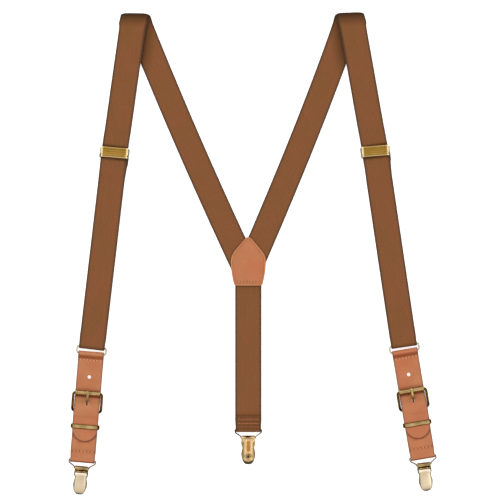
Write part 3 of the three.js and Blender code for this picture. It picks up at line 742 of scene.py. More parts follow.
def make_bail(name):
    high, low = height_of(f"{name}_bail_swing"), height_of(f"{name}_clip_swing")
    length = (spot_of(f"{name}_bail_swing") - spot_of(f"{name}_clip_swing")).length / MM
    outline = [(0, 0), (12.5, 0), (13.0, -0.2), (13.25, -0.8), (13.2, -2.4), (12.7, -3.3)]
    outline += [(8.0, -6.4), (7.6, -6.8), (7.3, 0.6 - length), (6.7, -length), (0, -length)]
    line = dense(outline + [(-x, y) for x, y in reversed(outline[1:-1])], 0.9)
    lean = math.asin((low - high) / length)
    leaning = Matrix.Translation((0, 0, high)) @ Matrix.Rotation(-lean, 4, "X")
    place = plane_frame(f"{name}_bail_swing") @ leaning
    bail = wire_loop(f"{name}_bail_wire", line, BAIL_WIRE, 12, place, WIRE)
    fit(bail, f"{name}_bail", "steel_wire", f"{name}_bail")


def clip_half_width(y):
    """Half the width of a clip's plate at a distance down from its hem."""
    stops = [(1, 6.8), (-2.6, 6.85), (-3.4, 7.0), (-6.6, 7.0), (-8.4, 6.2)]
    stops += [(-9.6, 5.9), (-12.5, 6.5), (-14.6, 6.95)]
    widest, tip_from, tip_length, tip_power = 7.0, -15.4, 8.2, 2.6
    if y <= tip_from:
        reach = min(1.0, (tip_from - y) / tip_length)
        return widest * max(0.0, 1 - reach**tip_power) ** (1 / tip_power)
    for (high, wide), (low, narrow) in zip(stops, stops[1:]):
        if y >= low:
            return narrow + (wide - narrow) * smooth(y, low, high)
    return widest


def clip_relief(x, y, half):
    """How far a clip plate's face is pressed in, its painted shade and highlight there, and how much is
    channel.
    """
    rim = smooth(abs(x) / max(half, 0.1), 0.72, 1.0)
    depth = (0.7 + 0.55 * smooth(-y, 8.0, 11.0)) * smooth(-y, -1.0, 3.0) * rim**1.6
    in_channel = fade(abs(x), 1.5, 2.3) * smooth(-y, 1.6, 3.2) * fade(-y, 13.0, 14.4)
    depth += 0.6 * in_channel
    outer = smooth(abs(x), 3.4, 4.2) * (1 - rim) * smooth(-y, 2.5, 4.0)
    depth += 0.3 * outer
    away = math.hypot(x, y + 18.0)
    rosette = 1 - smooth(away, 3.1, 3.9)
    wave = smooth(away, 0.8, 1.2) * (1 - math.cos(2 * math.pi * (away - 1.2) / 1.6))
    depth += rosette * 0.18 * wave
    eye = 1 - smooth(away, 0.95, 1.25)
    depth += 0.9 * eye
    ridge = (1 - in_channel) * (1 - outer) * (1 - rosette) * (1 - rim)
    by_hem = 0.3 * fade(-y, 0.0, 2.0) * fade(abs(x), 1.5, 4.0)
    # painted shade in the channel, the eye, along the rim, on the rosette's rings, in the outer hollows and
    # by the hem, and a painted highlight on the ridges
    shade = (0.22 + 0.26 * smooth(-y, 6.0, 11.0)) * in_channel + 0.99 * eye + 0.75 * rim
    shade += 0.55 * rosette * wave + 0.42 * outer - 0.16 * ridge + by_hem
    return depth, min(0.99, shade), in_channel


def make_clip_base(name, place):
    steps = 44
    even = [2 * k / steps - 1 for k in range(steps + 1)]
    shares = [math.sin(math.pi / 2 * share) * 0.35 + share * 0.65 for share in even]
    end = -23.6
    stations = [end * k / 78 for k in range(78)] + [end * 0.993, end * 0.998]
    grid, shade, channel_shade = [], [], []
    for y in stations:
        half = max(0.25, clip_half_width(y))
        tip = smooth(-y, 20.6, 23.6)
        row, dark, warm = [], [], []
        for share in shares:
            depth, darkness, channel = clip_relief(share * half, y, half)
            row.append((share * half, y, min(1.6, depth + 1.1 * tip**2)))
            # painted shade from the relief, deeper where the tip curls away
            dark.append(min(0.99, darkness + 0.3 * tip))
            # painted shade in the channel, in the clip brass's darker orange
            warm.append(0.85 * channel)
        grid.append(row)
        shade.append(dark)
        channel_shade.append(warm)
    plate = formed_sheet(f"{name}_plate_work", grid, CLIP_SHEET, place, CLIP_BRASS, shade, channel_shade)
    hem_grid, hem_shade = [], []
    hem = SidePath(-0.4, 0.0).line(0, 0.0).arc(0, HEM_Z, HEM_Z, -90, 205, 34)
    across = [2 * k / 16 - 1 for k in range(17)]
    for y, z in hem.points:
        reach = 6.75 if y < 0.3 else 6.6
        hem_grid.append([(reach * share, y, z) for share in across])
        # painted shade on the roll: heavier on the half above z = 2 mm, a dark spot on the lower half by the
        # middle, and lighter and darker bands across it
        dark = 0.5 + 0.42 * smooth(-y, 0.4, 1.5) + 0.3 * smooth(y, 1.6, 2.4) if z > 2 else 0.1
        spot = 0.8 * smooth(y, 0.3, 0.8) * fade(y, 1.9, 2.3) if z < 2 else 0.0
        row = [dark + spot * fade(abs(share), 0.2, 0.6) for share in across]
        hem_shade.append([value - 0.12 * math.sin(0.45 * k) for k, value in enumerate(row)])
    roll = formed_sheet(f"{name}_roll_work", hem_grid[::-1], CLIP_SHEET, place, CLIP_BRASS, hem_shade[::-1])
    outline = dense([(-7.4, 0.9), (-3.6, 0.9), (-3.5, 3.6), (-4.4, 4.6), (-6.4, 4.7), (-7.4, 3.6)], 1.0)
    # painted shade on the ears
    ears = side_plates(f"{name}_ear_work", outline, 6.2, 6.9, place, CLIP_BRASS, 0.75)
    base = merged(f"{name}_clip_plate", plate, roll, *ears)
    fit(base, f"{name}_clip", "antique_brass", f"{name}_clip_base")


def lever_height(y):
    """Height of the middle of a lever's cover at a distance down from the hem."""
    t = min(1.0, max(0.0, (-6.4 - y) / 19.7))
    return 6.35 - 3.6 * t**2.3


def make_clip_lever(name, place):
    top, wide_at, end = -6.1, -17.5, -26.2
    rows, steps = 52, 28
    grid, shade = [], []
    for k in range(rows + 1):
        y = top + (end - top) * (1 - math.cos(math.pi * k / rows)) / 2
        low = max(0.0, (wide_at - y) / (wide_at - end)) ** 2.5
        high = max(0.0, (y - (top - 2.6)) / 2.6) ** 3
        width = 5.8 + 0.6 * smooth(-y, 7.0, 17.0)
        half = width * max(0.0, 1 - low) ** 0.4 * max(0.02, 1 - high) ** (1 / 3)
        row, dark = [], []
        for step in range(steps + 1):
            share = math.sin(math.pi / 2 * (2 * step / steps - 1))
            x = share * max(half, 0.05)
            inside = max(0.0, 1 - (abs(x) / width) ** 3 - low)
            drop = 1.75 * (1 - inside ** (1 / 3))
            drop += 0.5 * (1 - max(0.0, 1 - high) ** (1 / 3))
            row.append((x, y, lever_height(y) - drop))
            # painted shade down the cover's sides where it curves away, and at its tip
            side = smooth(abs(x) / width, 0.72, 0.95)
            dark.append(min(0.85, 0.62 * side + 0.08 * smooth(-y, 14, 22) + 0.75 * smooth(-y, 23.4, 25.8)))
        grid.insert(0, row)
        shade.insert(0, dark)
    cover = formed_sheet(f"{name}_cover_work", grid, LEVER_SHEET, place, CHAMPAGNE, shade)
    band = SidePath(-7.4, 5.55).ease(-4.9, 5.75, 6)
    band.points += [(-4.35, 5.6), (-4.0, 5.2), (-3.85, 4.6), (-3.9, 4.0)]
    band_grid = [[(5.75 * (2 * k / 14 - 1), y, z) for k in range(15)] for y, z in band.points]
    # a painted highlight on the band, through the painted light colour
    strip = formed_sheet(f"{name}_band_work", band_grid, LEVER_SHEET, place, CHAMPAGNE, 0.0, 0.7)
    outline = dense([(-7.4, 5.2), (-6.9, 2.9), (-5.5, 2.2), (-4.5, 2.8), (-4.1, 4.9)], 1.0)
    # a little painted shade on the cheeks
    cheeks = side_plates(f"{name}_cheek_work", outline, 4.9, 5.5, place, CHAMPAGNE, 0.2)
    lever = merged(f"{name}_clip_cover", cover, strip, *cheeks)
    fit(lever, f"{name}_lever", "champagne", f"{name}_clip_lever")


def make_clip(name):
    make_bail(name)
    place = clip_frame(name)
    make_clip_base(name, place)
    make_clip_lever(name, place)
    for node, material in (("clip_pin", STEEL), ("clip_insert", PLASTIC)):
        dress(f"{name}_{node}", material)


def dress(node, material):
    """Gives a CAD node that stays its material."""
    obj = frame["nodes"][node]
    obj.data.materials.clear()
    obj.data.materials.append(material)


# ---------------------------------------------------------------- yoke and back strap


def yoke_outline():
    h, foot, belly, at = YOKE["height"], YOKE["foot"], YOKE["belly"], YOKE["belly_at"]
    half = [(0, h)]
    half += bezier((0, h), (3, h), (6, h - 5), (10, h - 9.5), 10)
    half += bezier((10, h - 9.5), (14, h - 14), (belly, at + 6), (belly, at), 12)
    half += bezier((belly, at), (belly, at - 8), (foot + 2.2, 10), (foot + 0.3, 2), 12)
    half += [(foot - 2 + 2 * math.cos(turn), 2 - 2 * math.sin(turn)) for turn in (0.4, 0.8, 1.2, 1.57)]
    half.append((0, 0))
    return dense(half + [(-x, y) for x, y in reversed(half[1:-1])], 1.2)


def make_yoke():
    outline = yoke_outline()
    centre = (0, 23)
    for name, node, low, high in (
        ("yoke_outer_plate", "y_patch_outer", 0.0, 1.2),
        ("yoke_inner_plate", "y_patch_inner", 3.5, 4.7),
    ):
        faces_up = low > 0
        # the rings' shades: a painted highlight on the raised rim, painted shade in the groove inside it and
        # on the side walls
        face = [(0.3, high - 0.02, 0.0), (0.65, high + 0.08, -0.24), (1.1, high + 0.04, -0.22)]
        face += [(1.45, high - 0.16, 0.2)]
        face += [(1.9, high - 0.06, 0.12), (3.0, high + 0.05, 0.04), (7.0, high + 0.12, 0.0)]
        face.append((13.0, high + 0.16, 0.0))
        rings = [(13.0, low, 0.0), (0.4, low, 0.1), (0.0, low + 0.3, 0.4), (0.0, high - 0.35, 0.35)] + face
        if not faces_up:
            rings = [(distance, high - height, shade) for distance, height, shade in rings]
        plate = turned_loops(name, outline, centre, rings, ROOT, LEATHER)
        fit(plate, "root", "leather", node)
    stitch_row("yoke_foot_stitches", -10.6, 10.6, 4.1, 4.72, 7, ROOT, "root", (1.0, 0.45, 0.25), 0.16)


def make_back_strap():
    radius = 1.8
    bail_z = 2.55
    strap_z = YOKE_STRAP_Z + WEB["thick"] / 2
    path = SidePath(YOKE_JOIN, strap_z).line(-2, strap_z).ease(-18, LOW_Z, 8)
    path.line(-YOKE_FOOT_TO_BAIL, LOW_Z, 4)
    flat_until = YOKE_FOOT_TO_BAIL + YOKE_JOIN
    path.arc(-YOKE_FOOT_TO_BAIL, bail_z, radius, 270, 90, 14)
    wraps = len(path.points)
    path.ease(-138.5, HIGH_Z + 0.15, 6).line(-130.6, HIGH_Z, 0.8)

    def wave(y):
        """The doubled end's ridges, sewn down every few millimetres."""
        return math.cos(2 * math.pi * (y + 130.5) / 3.6)

    def half(y, _):
        return WEB["half"] - 0.45 * smooth(-y, 134, 142)

    def shade(_, row):
        y = row.centre.y
        if row.along < flat_until:
            by_end = 0.3 * smooth(-y, 127.0, 130.0)
            return by_end + 0.5 * fade(-y, 0.2, 1.8) + 0.1 * fade(-y, 0, 9)
        return 0.2 - 0.22 * wave(y) + 0.45 * smooth(-y, 144.2, 146.0)

    rows = side_rows(path, half)
    for row in rows:
        row.normal = -row.normal  # the strap's inner face is up
    for row in rows[wraps:]:
        row.centre.z += 0.14 * wave(row.centre.y)
    webbing = strap("back_strap_webbing", rows, WEB, ROOT, ELASTIC, shade)
    fit(webbing, "root", "elastic", "back_strap")
    for number, (y, darkness) in enumerate(((-133.0, 0.35), (-137.9, 0.22)), 1):
        name = f"back_end_stitches_{number}"
        stitch_row(name, -10.2, 10.4, y, 3.42, 8, ROOT, "root", (1.1, 0.35, 0.28), darkness, "elastic")


# ---------------------------------------------------------------- legs


def leg_base(y, fold_y):
    """Height of a back leg's underside, from the yoke's outer plate down to the surface at the shoulder."""
    return YOKE_STRAP_Z * (fold_y - y) / (fold_y - YOKE_JOIN)


def back_leg_rows(shape, shoulder):
    """Rows of a back leg from the yoke to the crease, in the root frame."""
    sign = shape["sign"]
    fold = ROOT.inverted() @ shoulder.translation
    top = Vector((fold.x - sign * CREASE_DRIFT, fold.y - 0.3))
    foot_tilt, top_tilt = math.radians(shape["foot_tilt"]), math.radians(shape["top_tilt"])
    foot = Vector((0, shape["aim"]))
    up = Vector((sign * math.sin(foot_tilt), math.cos(foot_tilt)))
    down = Vector((-sign * math.sin(top_tilt), -math.cos(top_tilt)))
    apart = top - foot
    reach = (apart.x * down.y - apart.y * down.x) / (up.x * down.y - up.y * down.x)
    bend = foot + up * reach
    start = foot + up * 1.0
    crease = (ROOT.inverted() @ shoulder).to_3x3() @ Vector((1, 0, 0))
    crease.normalize()
    rows = []
    along = 0.0
    total = 90
    last = None
    for k in range(total + 1):
        t = k / total
        spot = start * (1 - t) ** 2 + bend * 2 * t * (1 - t) + top * t * t
        heading = ((bend - start) * (1 - t) + (top - bend) * t).normalized()
        if last is not None:
            along += (spot - last).length
        last = spot
        square = Vector((heading.y, -heading.x, 0))
        left_over = (top - spot).length
        share = 1 - smooth(left_over, 0.0, 24.0)
        slant = crease.dot(Vector((heading.x, heading.y, 0))) / crease.dot(square)
        across = square + Vector((heading.x, heading.y, 0)) * slant * share
        half = WEB["half"] + FOLD_FLARE * fade(left_over, 0.0, 10.0)
        z = leg_base(spot.y, fold.y) + WEB["thick"] / 2
        # seen from above this is the strap's inner face, so its outer face looks down
        rows.append(Row((spot.x, spot.y, z), across * half, (0, 0, -1), along))
    return rows


def leg_frames(name):
    """The shoulder's, upper leg's and lower leg's frames on one side."""
    shoulder = plane_frame(f"{name}_shoulder_unfold", -1)
    adjuster = plane_frame(f"{name}_plate_flip", 1, ADJUSTER_HINGE["below"])
    lower = frame_along(-Vector(JOINTS[f"{name}_adjuster_slide"]["axis"]), adjuster.translation)
    top = shoulder @ Vector((LEG_SHAPE[name]["sign"] * CREASE_DRIFT, 0, 0))
    upper = frame_along((top - adjuster.translation).normalized(), top)
    return shoulder, upper, lower, adjuster


def shoulder_rows(name, back_rows, shoulder, upper):
    """Rows over the fold, in the root frame: round the roll and down to the top of the front leg."""
    sign = LEG_SHAPE[name]["sign"]
    to_root = ROOT.inverted()
    turn = (to_root @ shoulder).to_3x3()
    turn_up = (to_root @ upper).to_3x3()
    crease = turn @ Vector((1, 0, 0))
    up_strap = turn @ Vector((0, 1, 0))
    leg_down = turn_up @ Vector((0, -1, 0))
    leg_across = turn_up @ Vector((1, 0, 0))
    origin = to_root @ shoulder.translation
    leg_top = to_root @ upper.translation
    slope = leg_down.dot(crease) / -leg_down.dot(up_strap)
    wide = (WEB["half"] + FOLD_FLARE) / math.cos(math.atan(CREASE_SLOPE))
    rows = []
    along = back_rows[-1].along
    last = back_rows[-1].centre
    steps = 22
    for k in range(1, steps + 1):
        angle = math.radians(-90 + 180 * k / steps)
        lift = max(0.0, math.sin(angle))
        y = FOLD_RADIUS * math.cos(angle)
        if angle >= 0:
            y = (FOLD_RADIUS + FOLD_ROLL) * math.cos(angle) - FOLD_ROLL
        z = FOLD_Z + FOLD_RADIUS * math.sin(angle)
        line_x = sign * CREASE_DRIFT - y * slope
        x = line_x * lift if angle > 0 else sign * CREASE_DRIFT * math.sin(angle)
        centre = origin + crease * x + up_strap * y
        centre.z = z
        squeeze = math.cos(angle) if angle > 0 else math.cos(angle) ** 2
        stretch_y = FOLD_RADIUS if angle < 0 else FOLD_RADIUS + FOLD_ROLL
        normal = up_strap * math.cos(angle) * FOLD_RADIUS + UP * math.sin(angle) * stretch_y
        along += (centre - last).length
        last = centre.copy()

        def bow(share, squeeze=squeeze):
            return up_strap * (-1.3 * abs(share) ** 7 * squeeze)

        rows.append(Row(centre, crease * wide, normal.normalized(), along, bow))
    distance = FOLD_ROLL
    square_slope = leg_across.dot(up_strap) / -leg_down.dot(up_strap)
    while distance < FOLD_REACH:
        distance = min(FOLD_REACH, distance + 2.4)
        share = 1 - smooth(distance, FOLD_ROLL, 24.0)
        centre = leg_top + leg_down * distance
        centre.z = FOLD_TOP
        across = leg_across + leg_down * square_slope * share
        half = WEB["half"] + FOLD_FLARE * fade(distance, 2.0, 18.0)
        along += (centre - last).length
        last = centre.copy()
        rows.append(Row(centre, across * half, (0, 0, 1), along))
    return rows


def make_legs(name):
    shape = LEG_SHAPE[name]
    sign = shape["sign"]
    shoulder, upper, lower, adjuster = leg_frames(name)
    back_rows = back_leg_rows(shape, shoulder)
    total = back_rows[-1].along
    split = next(k for k, row in enumerate(back_rows) if row.along > total - 44)

    to_leg = upper.inverted() @ ROOT
    to_crease = shoulder.inverted() @ ROOT

    def back_shade(spot, _):
        beside = to_leg @ spot
        apart = -sign * beside.x - WEB["half"]
        return 0.5 * fade(apart, -1.0, 15.0) * fade(-beside.y, 36.0, 70.0)

    leg = strap(f"{name}_back_leg", back_rows[: split + 1], WEB, ROOT, ELASTIC, back_shade, capped=False)
    fit(leg, "root", "elastic", f"{name}_back_run")

    fold_rows = shoulder_rows(name, back_rows, shoulder, upper)

    def fold_shade(spot, row):
        if row.along <= total:
            return back_shade(spot, row)
        below = FOLD_RADIUS - (to_crease @ spot).y
        return 0.84 * max(0.0, 1 - max(0.0, below - 0.4) / 13.5) ** 1.25

    rows = back_rows[split:] + fold_rows
    fold = strap(f"{name}_shoulder_fold", rows, WEB, ROOT, ELASTIC, fold_shade, capped=False)
    crease = shoulder.translation
    low, high = Vector((crease.x, crease.y, 2.0 * MM)), Vector((crease.x, crease.y, 3.7 * MM))
    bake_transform(fold)
    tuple(low)
    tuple(high)
    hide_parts(f"{name}_shoulder_bend")

    path = SidePath(-FOLD_REACH, FOLD_TOP).line(-60, FOLD_TOP, 3)
    adjuster_at = (upper.inverted() @ lower.translation).y
    path.ease(-100, HIGH_Z, 12).line(adjuster_at + 28, HIGH_Z, 3)
    path.ease(adjuster_at + 12, ADJUSTER_STRAP_Z, 10)
    rows = side_rows(path, WEB["half"], fold_rows[-1].along)
    run = strap(f"{name}_front_leg", rows, WEB, upper, ELASTIC, capped=False)
    start, end = upper @ Vector((0, -FOLD_REACH - 2, 0)), upper @ Vector((0, adjuster_at + 14, 0))
    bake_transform(run)
    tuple(start)
    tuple(end)
    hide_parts(f"{name}_front_run")
    make_loop(name, upper, lower, adjuster_at, rows[-1].along)
    make_adjuster(name, adjuster)


def make_loop(name, upper, lower, adjuster_at, along):
    """The elastic from the adjuster round the ring and back to the adjuster's bar."""
    radius = RING_LOOP_RADIUS
    bar_at = joint_at(f"{name}_ring_swing", lower).y
    path = SidePath(12, ADJUSTER_STRAP_Z).line(-8, ADJUSTER_STRAP_Z, 2).ease(-16, ADJUSTER_STRAP_Z - 1, 6)
    path.ease(-36, HIGH_Z, 9).line(bar_at + 24, HIGH_Z, 4).ease(bar_at + 3, RING_Z + radius, 10)
    path.line(bar_at, RING_Z + radius, 1.5).arc(bar_at, RING_Z, radius, 90, 270, 14)
    path.ease(bar_at + 30, LOW_Z, 10).line(-6, LOW_Z, 4).line(-3, LOW_Z, 1)
    path.arc(-3, 2.25, 1.5, -90, 90, 12).line(-6.5, 3.75, 1.5)
    path.ease(-13, HIGH_Z - 0.2, 6).line(-18, HIGH_Z - 0.2, 2)
    first_top = upper @ Vector((0, adjuster_at + 12, 0))
    join = lower.inverted() @ first_top

    front_rows, return_from = 12, 60  # the rows by the adjuster, and the first on the way back up

    def half(y, k):
        by_ring = 0.25 * fade(y, bar_at + 3, bar_at + 9)
        return WEB["half"] - by_ring + (0.7 if k > return_from and y > -11.5 else 0.0)

    rows = side_rows(path, half, along)
    for row in rows[:front_rows]:
        row.centre.x += join.x * smooth(row.centre.y, 2.0, 12.0)
    for row in rows[return_from:]:
        row.centre.x += 0.7 * smooth(row.centre.y, -30.0, -12.0)  # the end is threaded a little askew
    lean = (lower.inverted() @ upper).to_3x3() @ Vector((0, 1, 0))
    rows[0].across = Vector((lean.y, -lean.x, 0)).normalized() * WEB["half"]

    def shade(_, row):
        y, z = row.centre.y, row.centre.z
        if y < bar_at + 6:
            return 0.6 * fade(y, bar_at - 2.6, bar_at + 1.4)
        if z < 3 and y > -9:
            return 0.85
        return 0.55 * smooth(y, -8.6, -6.2) * fade(y, 5.8, 8.2) if z > 4 else 0.0

    loop = strap(f"{name}_front_loop", rows, WEB, lower, ELASTIC, shade, capped=False)
    start, end = lower @ Vector((0, -18, 0)), lower @ Vector((0, -160, 0))
    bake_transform(loop)
    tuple(start)
    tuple(end)
    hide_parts(f"{name}_lower_run", f"{name}_return_run")


def make_adjuster(name, place):
    rows, steps = 48, 60
    half_long, half_high, half_low = 13.3, 5.5, 5.15
    grid, shade, painted_light = [], [], []
    for j in range(rows + 1):
        v = 2 * j / rows - 1
        y = v * (half_high if v > 0 else half_low)
        row, dark, pale = [], [], []
        for k in range(steps + 1):
            u = 2 * k / steps - 1
            x = half_long * u
            end_lip = smooth(abs(x), 11.5, 12.5)
            low_lip = smooth(-y, 3.8, 4.5)
            top_lip = smooth(y, 4.3, 4.9)
            face = (1 - end_lip) * (1 - low_lip) * (1 - top_lip)
            groove = math.cos(2 * math.pi * (y + 0.4) / 2.05)
            z = 9.02 + 0.08 * groove * face
            z += 0.42 * max(end_lip, low_lip) + 0.2 * top_lip
            rim = max(smooth(abs(x), 12.55, 13.3), smooth(abs(v), 0.91, 1.0))
            z -= 0.75 * rim**2
            row.append((x, y, z))
            # painted shade on the face with lighter and darker bands along its grooves and painted shade on
            # the rim; painted highlights on the lips
            dark.append(face * (0.4 - 0.1 * groove + 0.08 * v) + 0.3 * rim * (1 - end_lip))
            pale.append(max(end_lip * 0.85, low_lip * 0.4, top_lip * 0.2) * (1 - 0.6 * rim))
        grid.append(row)
        shade.append(dark)
        painted_light.append(pale)
    plate = formed_sheet(f"{name}_plate_work", grid, ADJUSTER_SHEET, place, GOLD, shade, painted_light)
    eye = circle(-ADJUSTER_HINGE["below"], ADJUSTER_HINGE["z"], ADJUSTER_HINGE["radius"], 18)
    # a little painted shade on the eyes
    eyes = side_plates(f"{name}_eye_work", eye, 12.5, 13.2, place, GOLD, 0.1)
    cover = merged(f"{name}_adjuster_cover", plate, *eyes)
    fit(cover, f"{name}_adjuster_plate", "gold", f"{name}_adjuster_plate")
    dress(f"{name}_adjuster_frame", STEEL)
    dress(f"{name}_adjuster_pin", STEEL)


# ---------------------------------------------------------------- leather ends


def make_ring(name):
    outline = []
    span = -joint_at(f"{name}_leather_swing", plane_frame(f"{name}_ring_swing")).y
    for x, y in dense(round_rectangle(-14, -span, 14, 0, 1.5, 5), 1.0):
        barrel = 0.75 * (1 - (2 * y / span + 1) ** 2) * smooth(abs(x), 11.0, 14.0)
        outline.append((x + math.copysign(barrel, x), y))
    place = plane_frame(f"{name}_ring_swing") @ Matrix.Translation((0, 0, RING_Z))
    ring = wire_loop(f"{name}_ring_wire", outline, RING_WIRE, 14, place, PALE_BRASS)
    fit(ring, f"{name}_ring", "pale_brass", f"{name}_ring")


def make_billet(name, place, body):
    ring_radius = 0.8 + 0.45 + 0.7
    path = SidePath(-13, RING_Z - ring_radius)
    path.line(-6, RING_Z - ring_radius, 2).line(0, RING_Z - ring_radius, 2)
    path.arc(0, RING_Z, ring_radius, -90, 90, 14)
    turned = len(path.points)
    path.line(-0.8, RING_Z + ring_radius - 0.05, 0.8).ease(-5.2, 2.75, 12)
    path.line(-13, 2.6, 1.2).ease(-32, 1.5, 8)
    path.line(-41.5, 1.5, 2.5).ease(-56, 6.75, 16).line(-60, 6.75, 1.6).ease(-64.7, 5.7, 6)
    tongue_start = TONGUE["end"] + TONGUE["length"]
    path.line(tongue_start, 5.6, 2.5)
    for k in range(1, 19):
        y = tongue_start - TONGUE["length"] * math.sin(math.pi / 2 * k / 18)
        path.points.append((y, 5.6 - 0.25 * smooth(k, 9, 18)))

    def half(y, k):
        reach = (tongue_start - y) / TONGUE["length"]
        if k < turned or reach <= 0:
            return HIDE["half"]
        return max(0.7, HIDE["half"] * max(0.0, 1 - reach ** TONGUE["down"]) ** (1 / TONGUE["across"]))

    def shade(_, row):
        y, z = row.centre.y, row.centre.z
        if z < 2.4 and y > -13.5:
            return 0.1
        crease = smooth(-y, 0.7, 1.6) * fade(-y, 4.5, 5.3)
        light = fade(-y, -1.0, 1.2) * smooth(-y, -2.0, -1.0)
        under_roller = smooth(-y, 40.3, 41.4) * fade(-y, 42.4, 44.6)
        before_roller = smooth(-y, 34.4, 36.4) * fade(-y, 37.5, 39.0)
        by_keeper = smooth(-y, 69.8, 71.2) * fade(-y, 74.2, 75.6)
        return 0.36 * crease - 0.1 * light + 0.6 * under_roller + 0.12 * before_roller + 0.3 * by_keeper

    rows = side_rows(path, half)
    hide = strap(f"{name}_billet_leather", rows, HIDE, place, LEATHER, shade, edge_depth=1.7)
    cut_hole(hide, circle(0, HOLE["at"], HOLE["radius"], 28), -1, 6, place)
    cut_hole(hide, round_rectangle(-1.25, SLOT_AT - 2.0, 1.25, SLOT_AT + 1.8, 1.2, 6), 0, 9, place)
    fit(hide, body, "leather", f"{name}_billet")
    stitch_row(f"{name}_billet_stitches", -11.6, 11.6, -6.1, 3.38, 7, place, body, (1.25, 0.75, 0.42))


def make_chape(name, place, body):
    bar_radius, bail_radius = 2.0, 1.75
    bail_at = joint_at(f"{name}_bail_swing", place).y
    path = SidePath(CHAPE_SEAM, CHAPE_TOP).ease(BAR_AT - 1, CHAPE_Z + bar_radius, 6)
    path.arc(BAR_AT, CHAPE_Z, bar_radius, 90, -90, 16).ease(BAR_AT - 9, CHAPE_LOW, 8)
    path.line(bail_at + 8, CHAPE_LOW, 3).ease(bail_at, CHAPE_Z - bail_radius, 8)
    path.arc(bail_at, CHAPE_Z, bail_radius, -90, -270, 16).ease(bail_at + 6.5, CHAPE_TOP, 8)
    path.line(CHAPE_SEAM - 0.6, CHAPE_TOP, 2.5)

    def shade(spot, row):
        y, z = row.centre.y, row.centre.z
        if z < CHAPE_Z:
            return 0.05
        lip = 0.72 * smooth(bail_at - y, 0.3, 1.5)
        share = min(1.0, abs(spot.x) / HIDE["half"])
        reach = (1 - share ** TONGUE["across"]) ** (1 / TONGUE["down"])
        below = TONGUE["end"] + TONGUE["length"] * (1 - reach) - y
        by_tongue = 0.5 * fade(below, 0.3, 2.4)
        dip = 0.14 * math.exp(-((y - CHAPE_STITCHES_AT) / 1.4) ** 2)
        return lip + by_tongue + dip

    rows = side_rows(path, lambda y, _: CHAPE_HALF - 0.35 * smooth(bail_at - y, -8.0, -3.0))
    for row in rows:
        row.normal = -row.normal
    hide = strap(f"{name}_chape_leather", rows, HIDE, place, LEATHER, shade, edge_depth=1.7)
    cut_hole(hide, round_rectangle(-2.2, BAR_AT - 6, 2.2, BAR_AT + 5, 1.5), -1, 12, place)
    fit(hide, body, "leather", f"{name}_chape")
    row, height = f"{name}_chape_stitches", CHAPE_TOP + 0.66
    stitch_row(row, -10.8, 10.8, CHAPE_STITCHES_AT, height, 6, place, body, (1.2, 0.7, 0.3), 0.1)


def make_buckle(name, place, body):
    rise, run = ROLLER_Z - CHAPE_Z, ROLLER_AT - BAR_AT
    outline = dense(round_rectangle(-14.45, 0, 14.45, math.hypot(rise, run), 2.5, 7), 1.0)
    tilt = place @ Matrix.Translation((0, BAR_AT, CHAPE_Z)) @ Matrix.Rotation(math.atan2(rise, run), 4, "X")

    def wire_shade(spot):
        # darker all over, with more painted shade by the bar, where the leather wraps it
        return 0.74 + 0.16 * fade(spot.y, 1.0, 7.0)

    frame_wire = wire_loop(f"{name}_buckle_wire", outline, BUCKLE_WIRE, 16, tilt, ANTIQUE, wire_shade)
    fit(frame_wire, body, "antique_brass", f"{name}_buckle_frame")

    end = [(-12.2, 1.5), (-12.4, 2.0), (-12.15, 2.35), (-11.6, 2.45), (-10.9, 2.4)]
    profile = end + [(-x, radius) for x, radius in reversed(end)]

    def roller_shade(radius):
        # painted shade on the roller's ends
        return 0.0 if radius > 2.2 else 0.5

    roller = turned(f"{name}_roller_tube", profile, ROLLER_AT, ROLLER_Z, 36, place, roller_shade)
    fit(roller, f"{name}_roller", "antique_brass", f"{name}_buckle_roller")

    shank = [(BAR_AT - 0.2, 5.0)]
    shank += bezier((BAR_AT, 4.9), (BAR_AT + 7.5, 4.3), (ROLLER_AT - 7, 7.7), (ROLLER_AT - 0.5, 8.2), 26)
    shank += [(ROLLER_AT + 0.8, 8.18), (ROLLER_AT + 1.7, 8.0), (ROLLER_AT + 2.3, 7.7)]
    points, shades = [], []
    sides = 14
    for k, (y, z) in enumerate(shank):
        share = k / (len(shank) - 1)
        wide = 0.95 + 0.5 * smooth(share, 0.45, 0.95)
        thick = 0.68
        if k == len(shank) - 1:
            wide, thick = 0.55, 0.3
        for turn in range(sides):
            angle = 2 * math.pi * turn / sides
            c, s = math.cos(angle), math.sin(angle)
            x = wide * math.copysign(abs(c) ** 0.7, c)
            points.append((x, y, z + thick * math.copysign(abs(s) ** 0.8, s)))
            # painted shade on the prong's lower part, where it dips into the slot, and along its edges, with
            # a painted highlight where it lies over the roller
            rim = smooth(abs(c), 0.55, 0.9)
            painted_highlight = 0.25 * smooth(share, 0.8, 0.95) * (1 - rim)
            shades.append(max(0.82 * fade(share, 0.4, 0.8), 0.6 * rim) - painted_highlight)
    bar = build(f"{name}_shank_work", points, prism_faces(len(shank), sides), place, ANTIQUE, shade=shades)
    profile = [(-1.25, 1.4), (-1.3, 2.1), (1.3, 2.1), (1.25, 1.4)]
    # painted shade on the prong's eye round the bar
    eye = turned(f"{name}_eye_work", profile, BAR_AT, CHAPE_Z, 24, place, lambda _: 0.3)
    prong = merged(f"{name}_prong_tongue", bar, eye)
    fit(prong, f"{name}_prong", "antique_brass", f"{name}_buckle_prong")


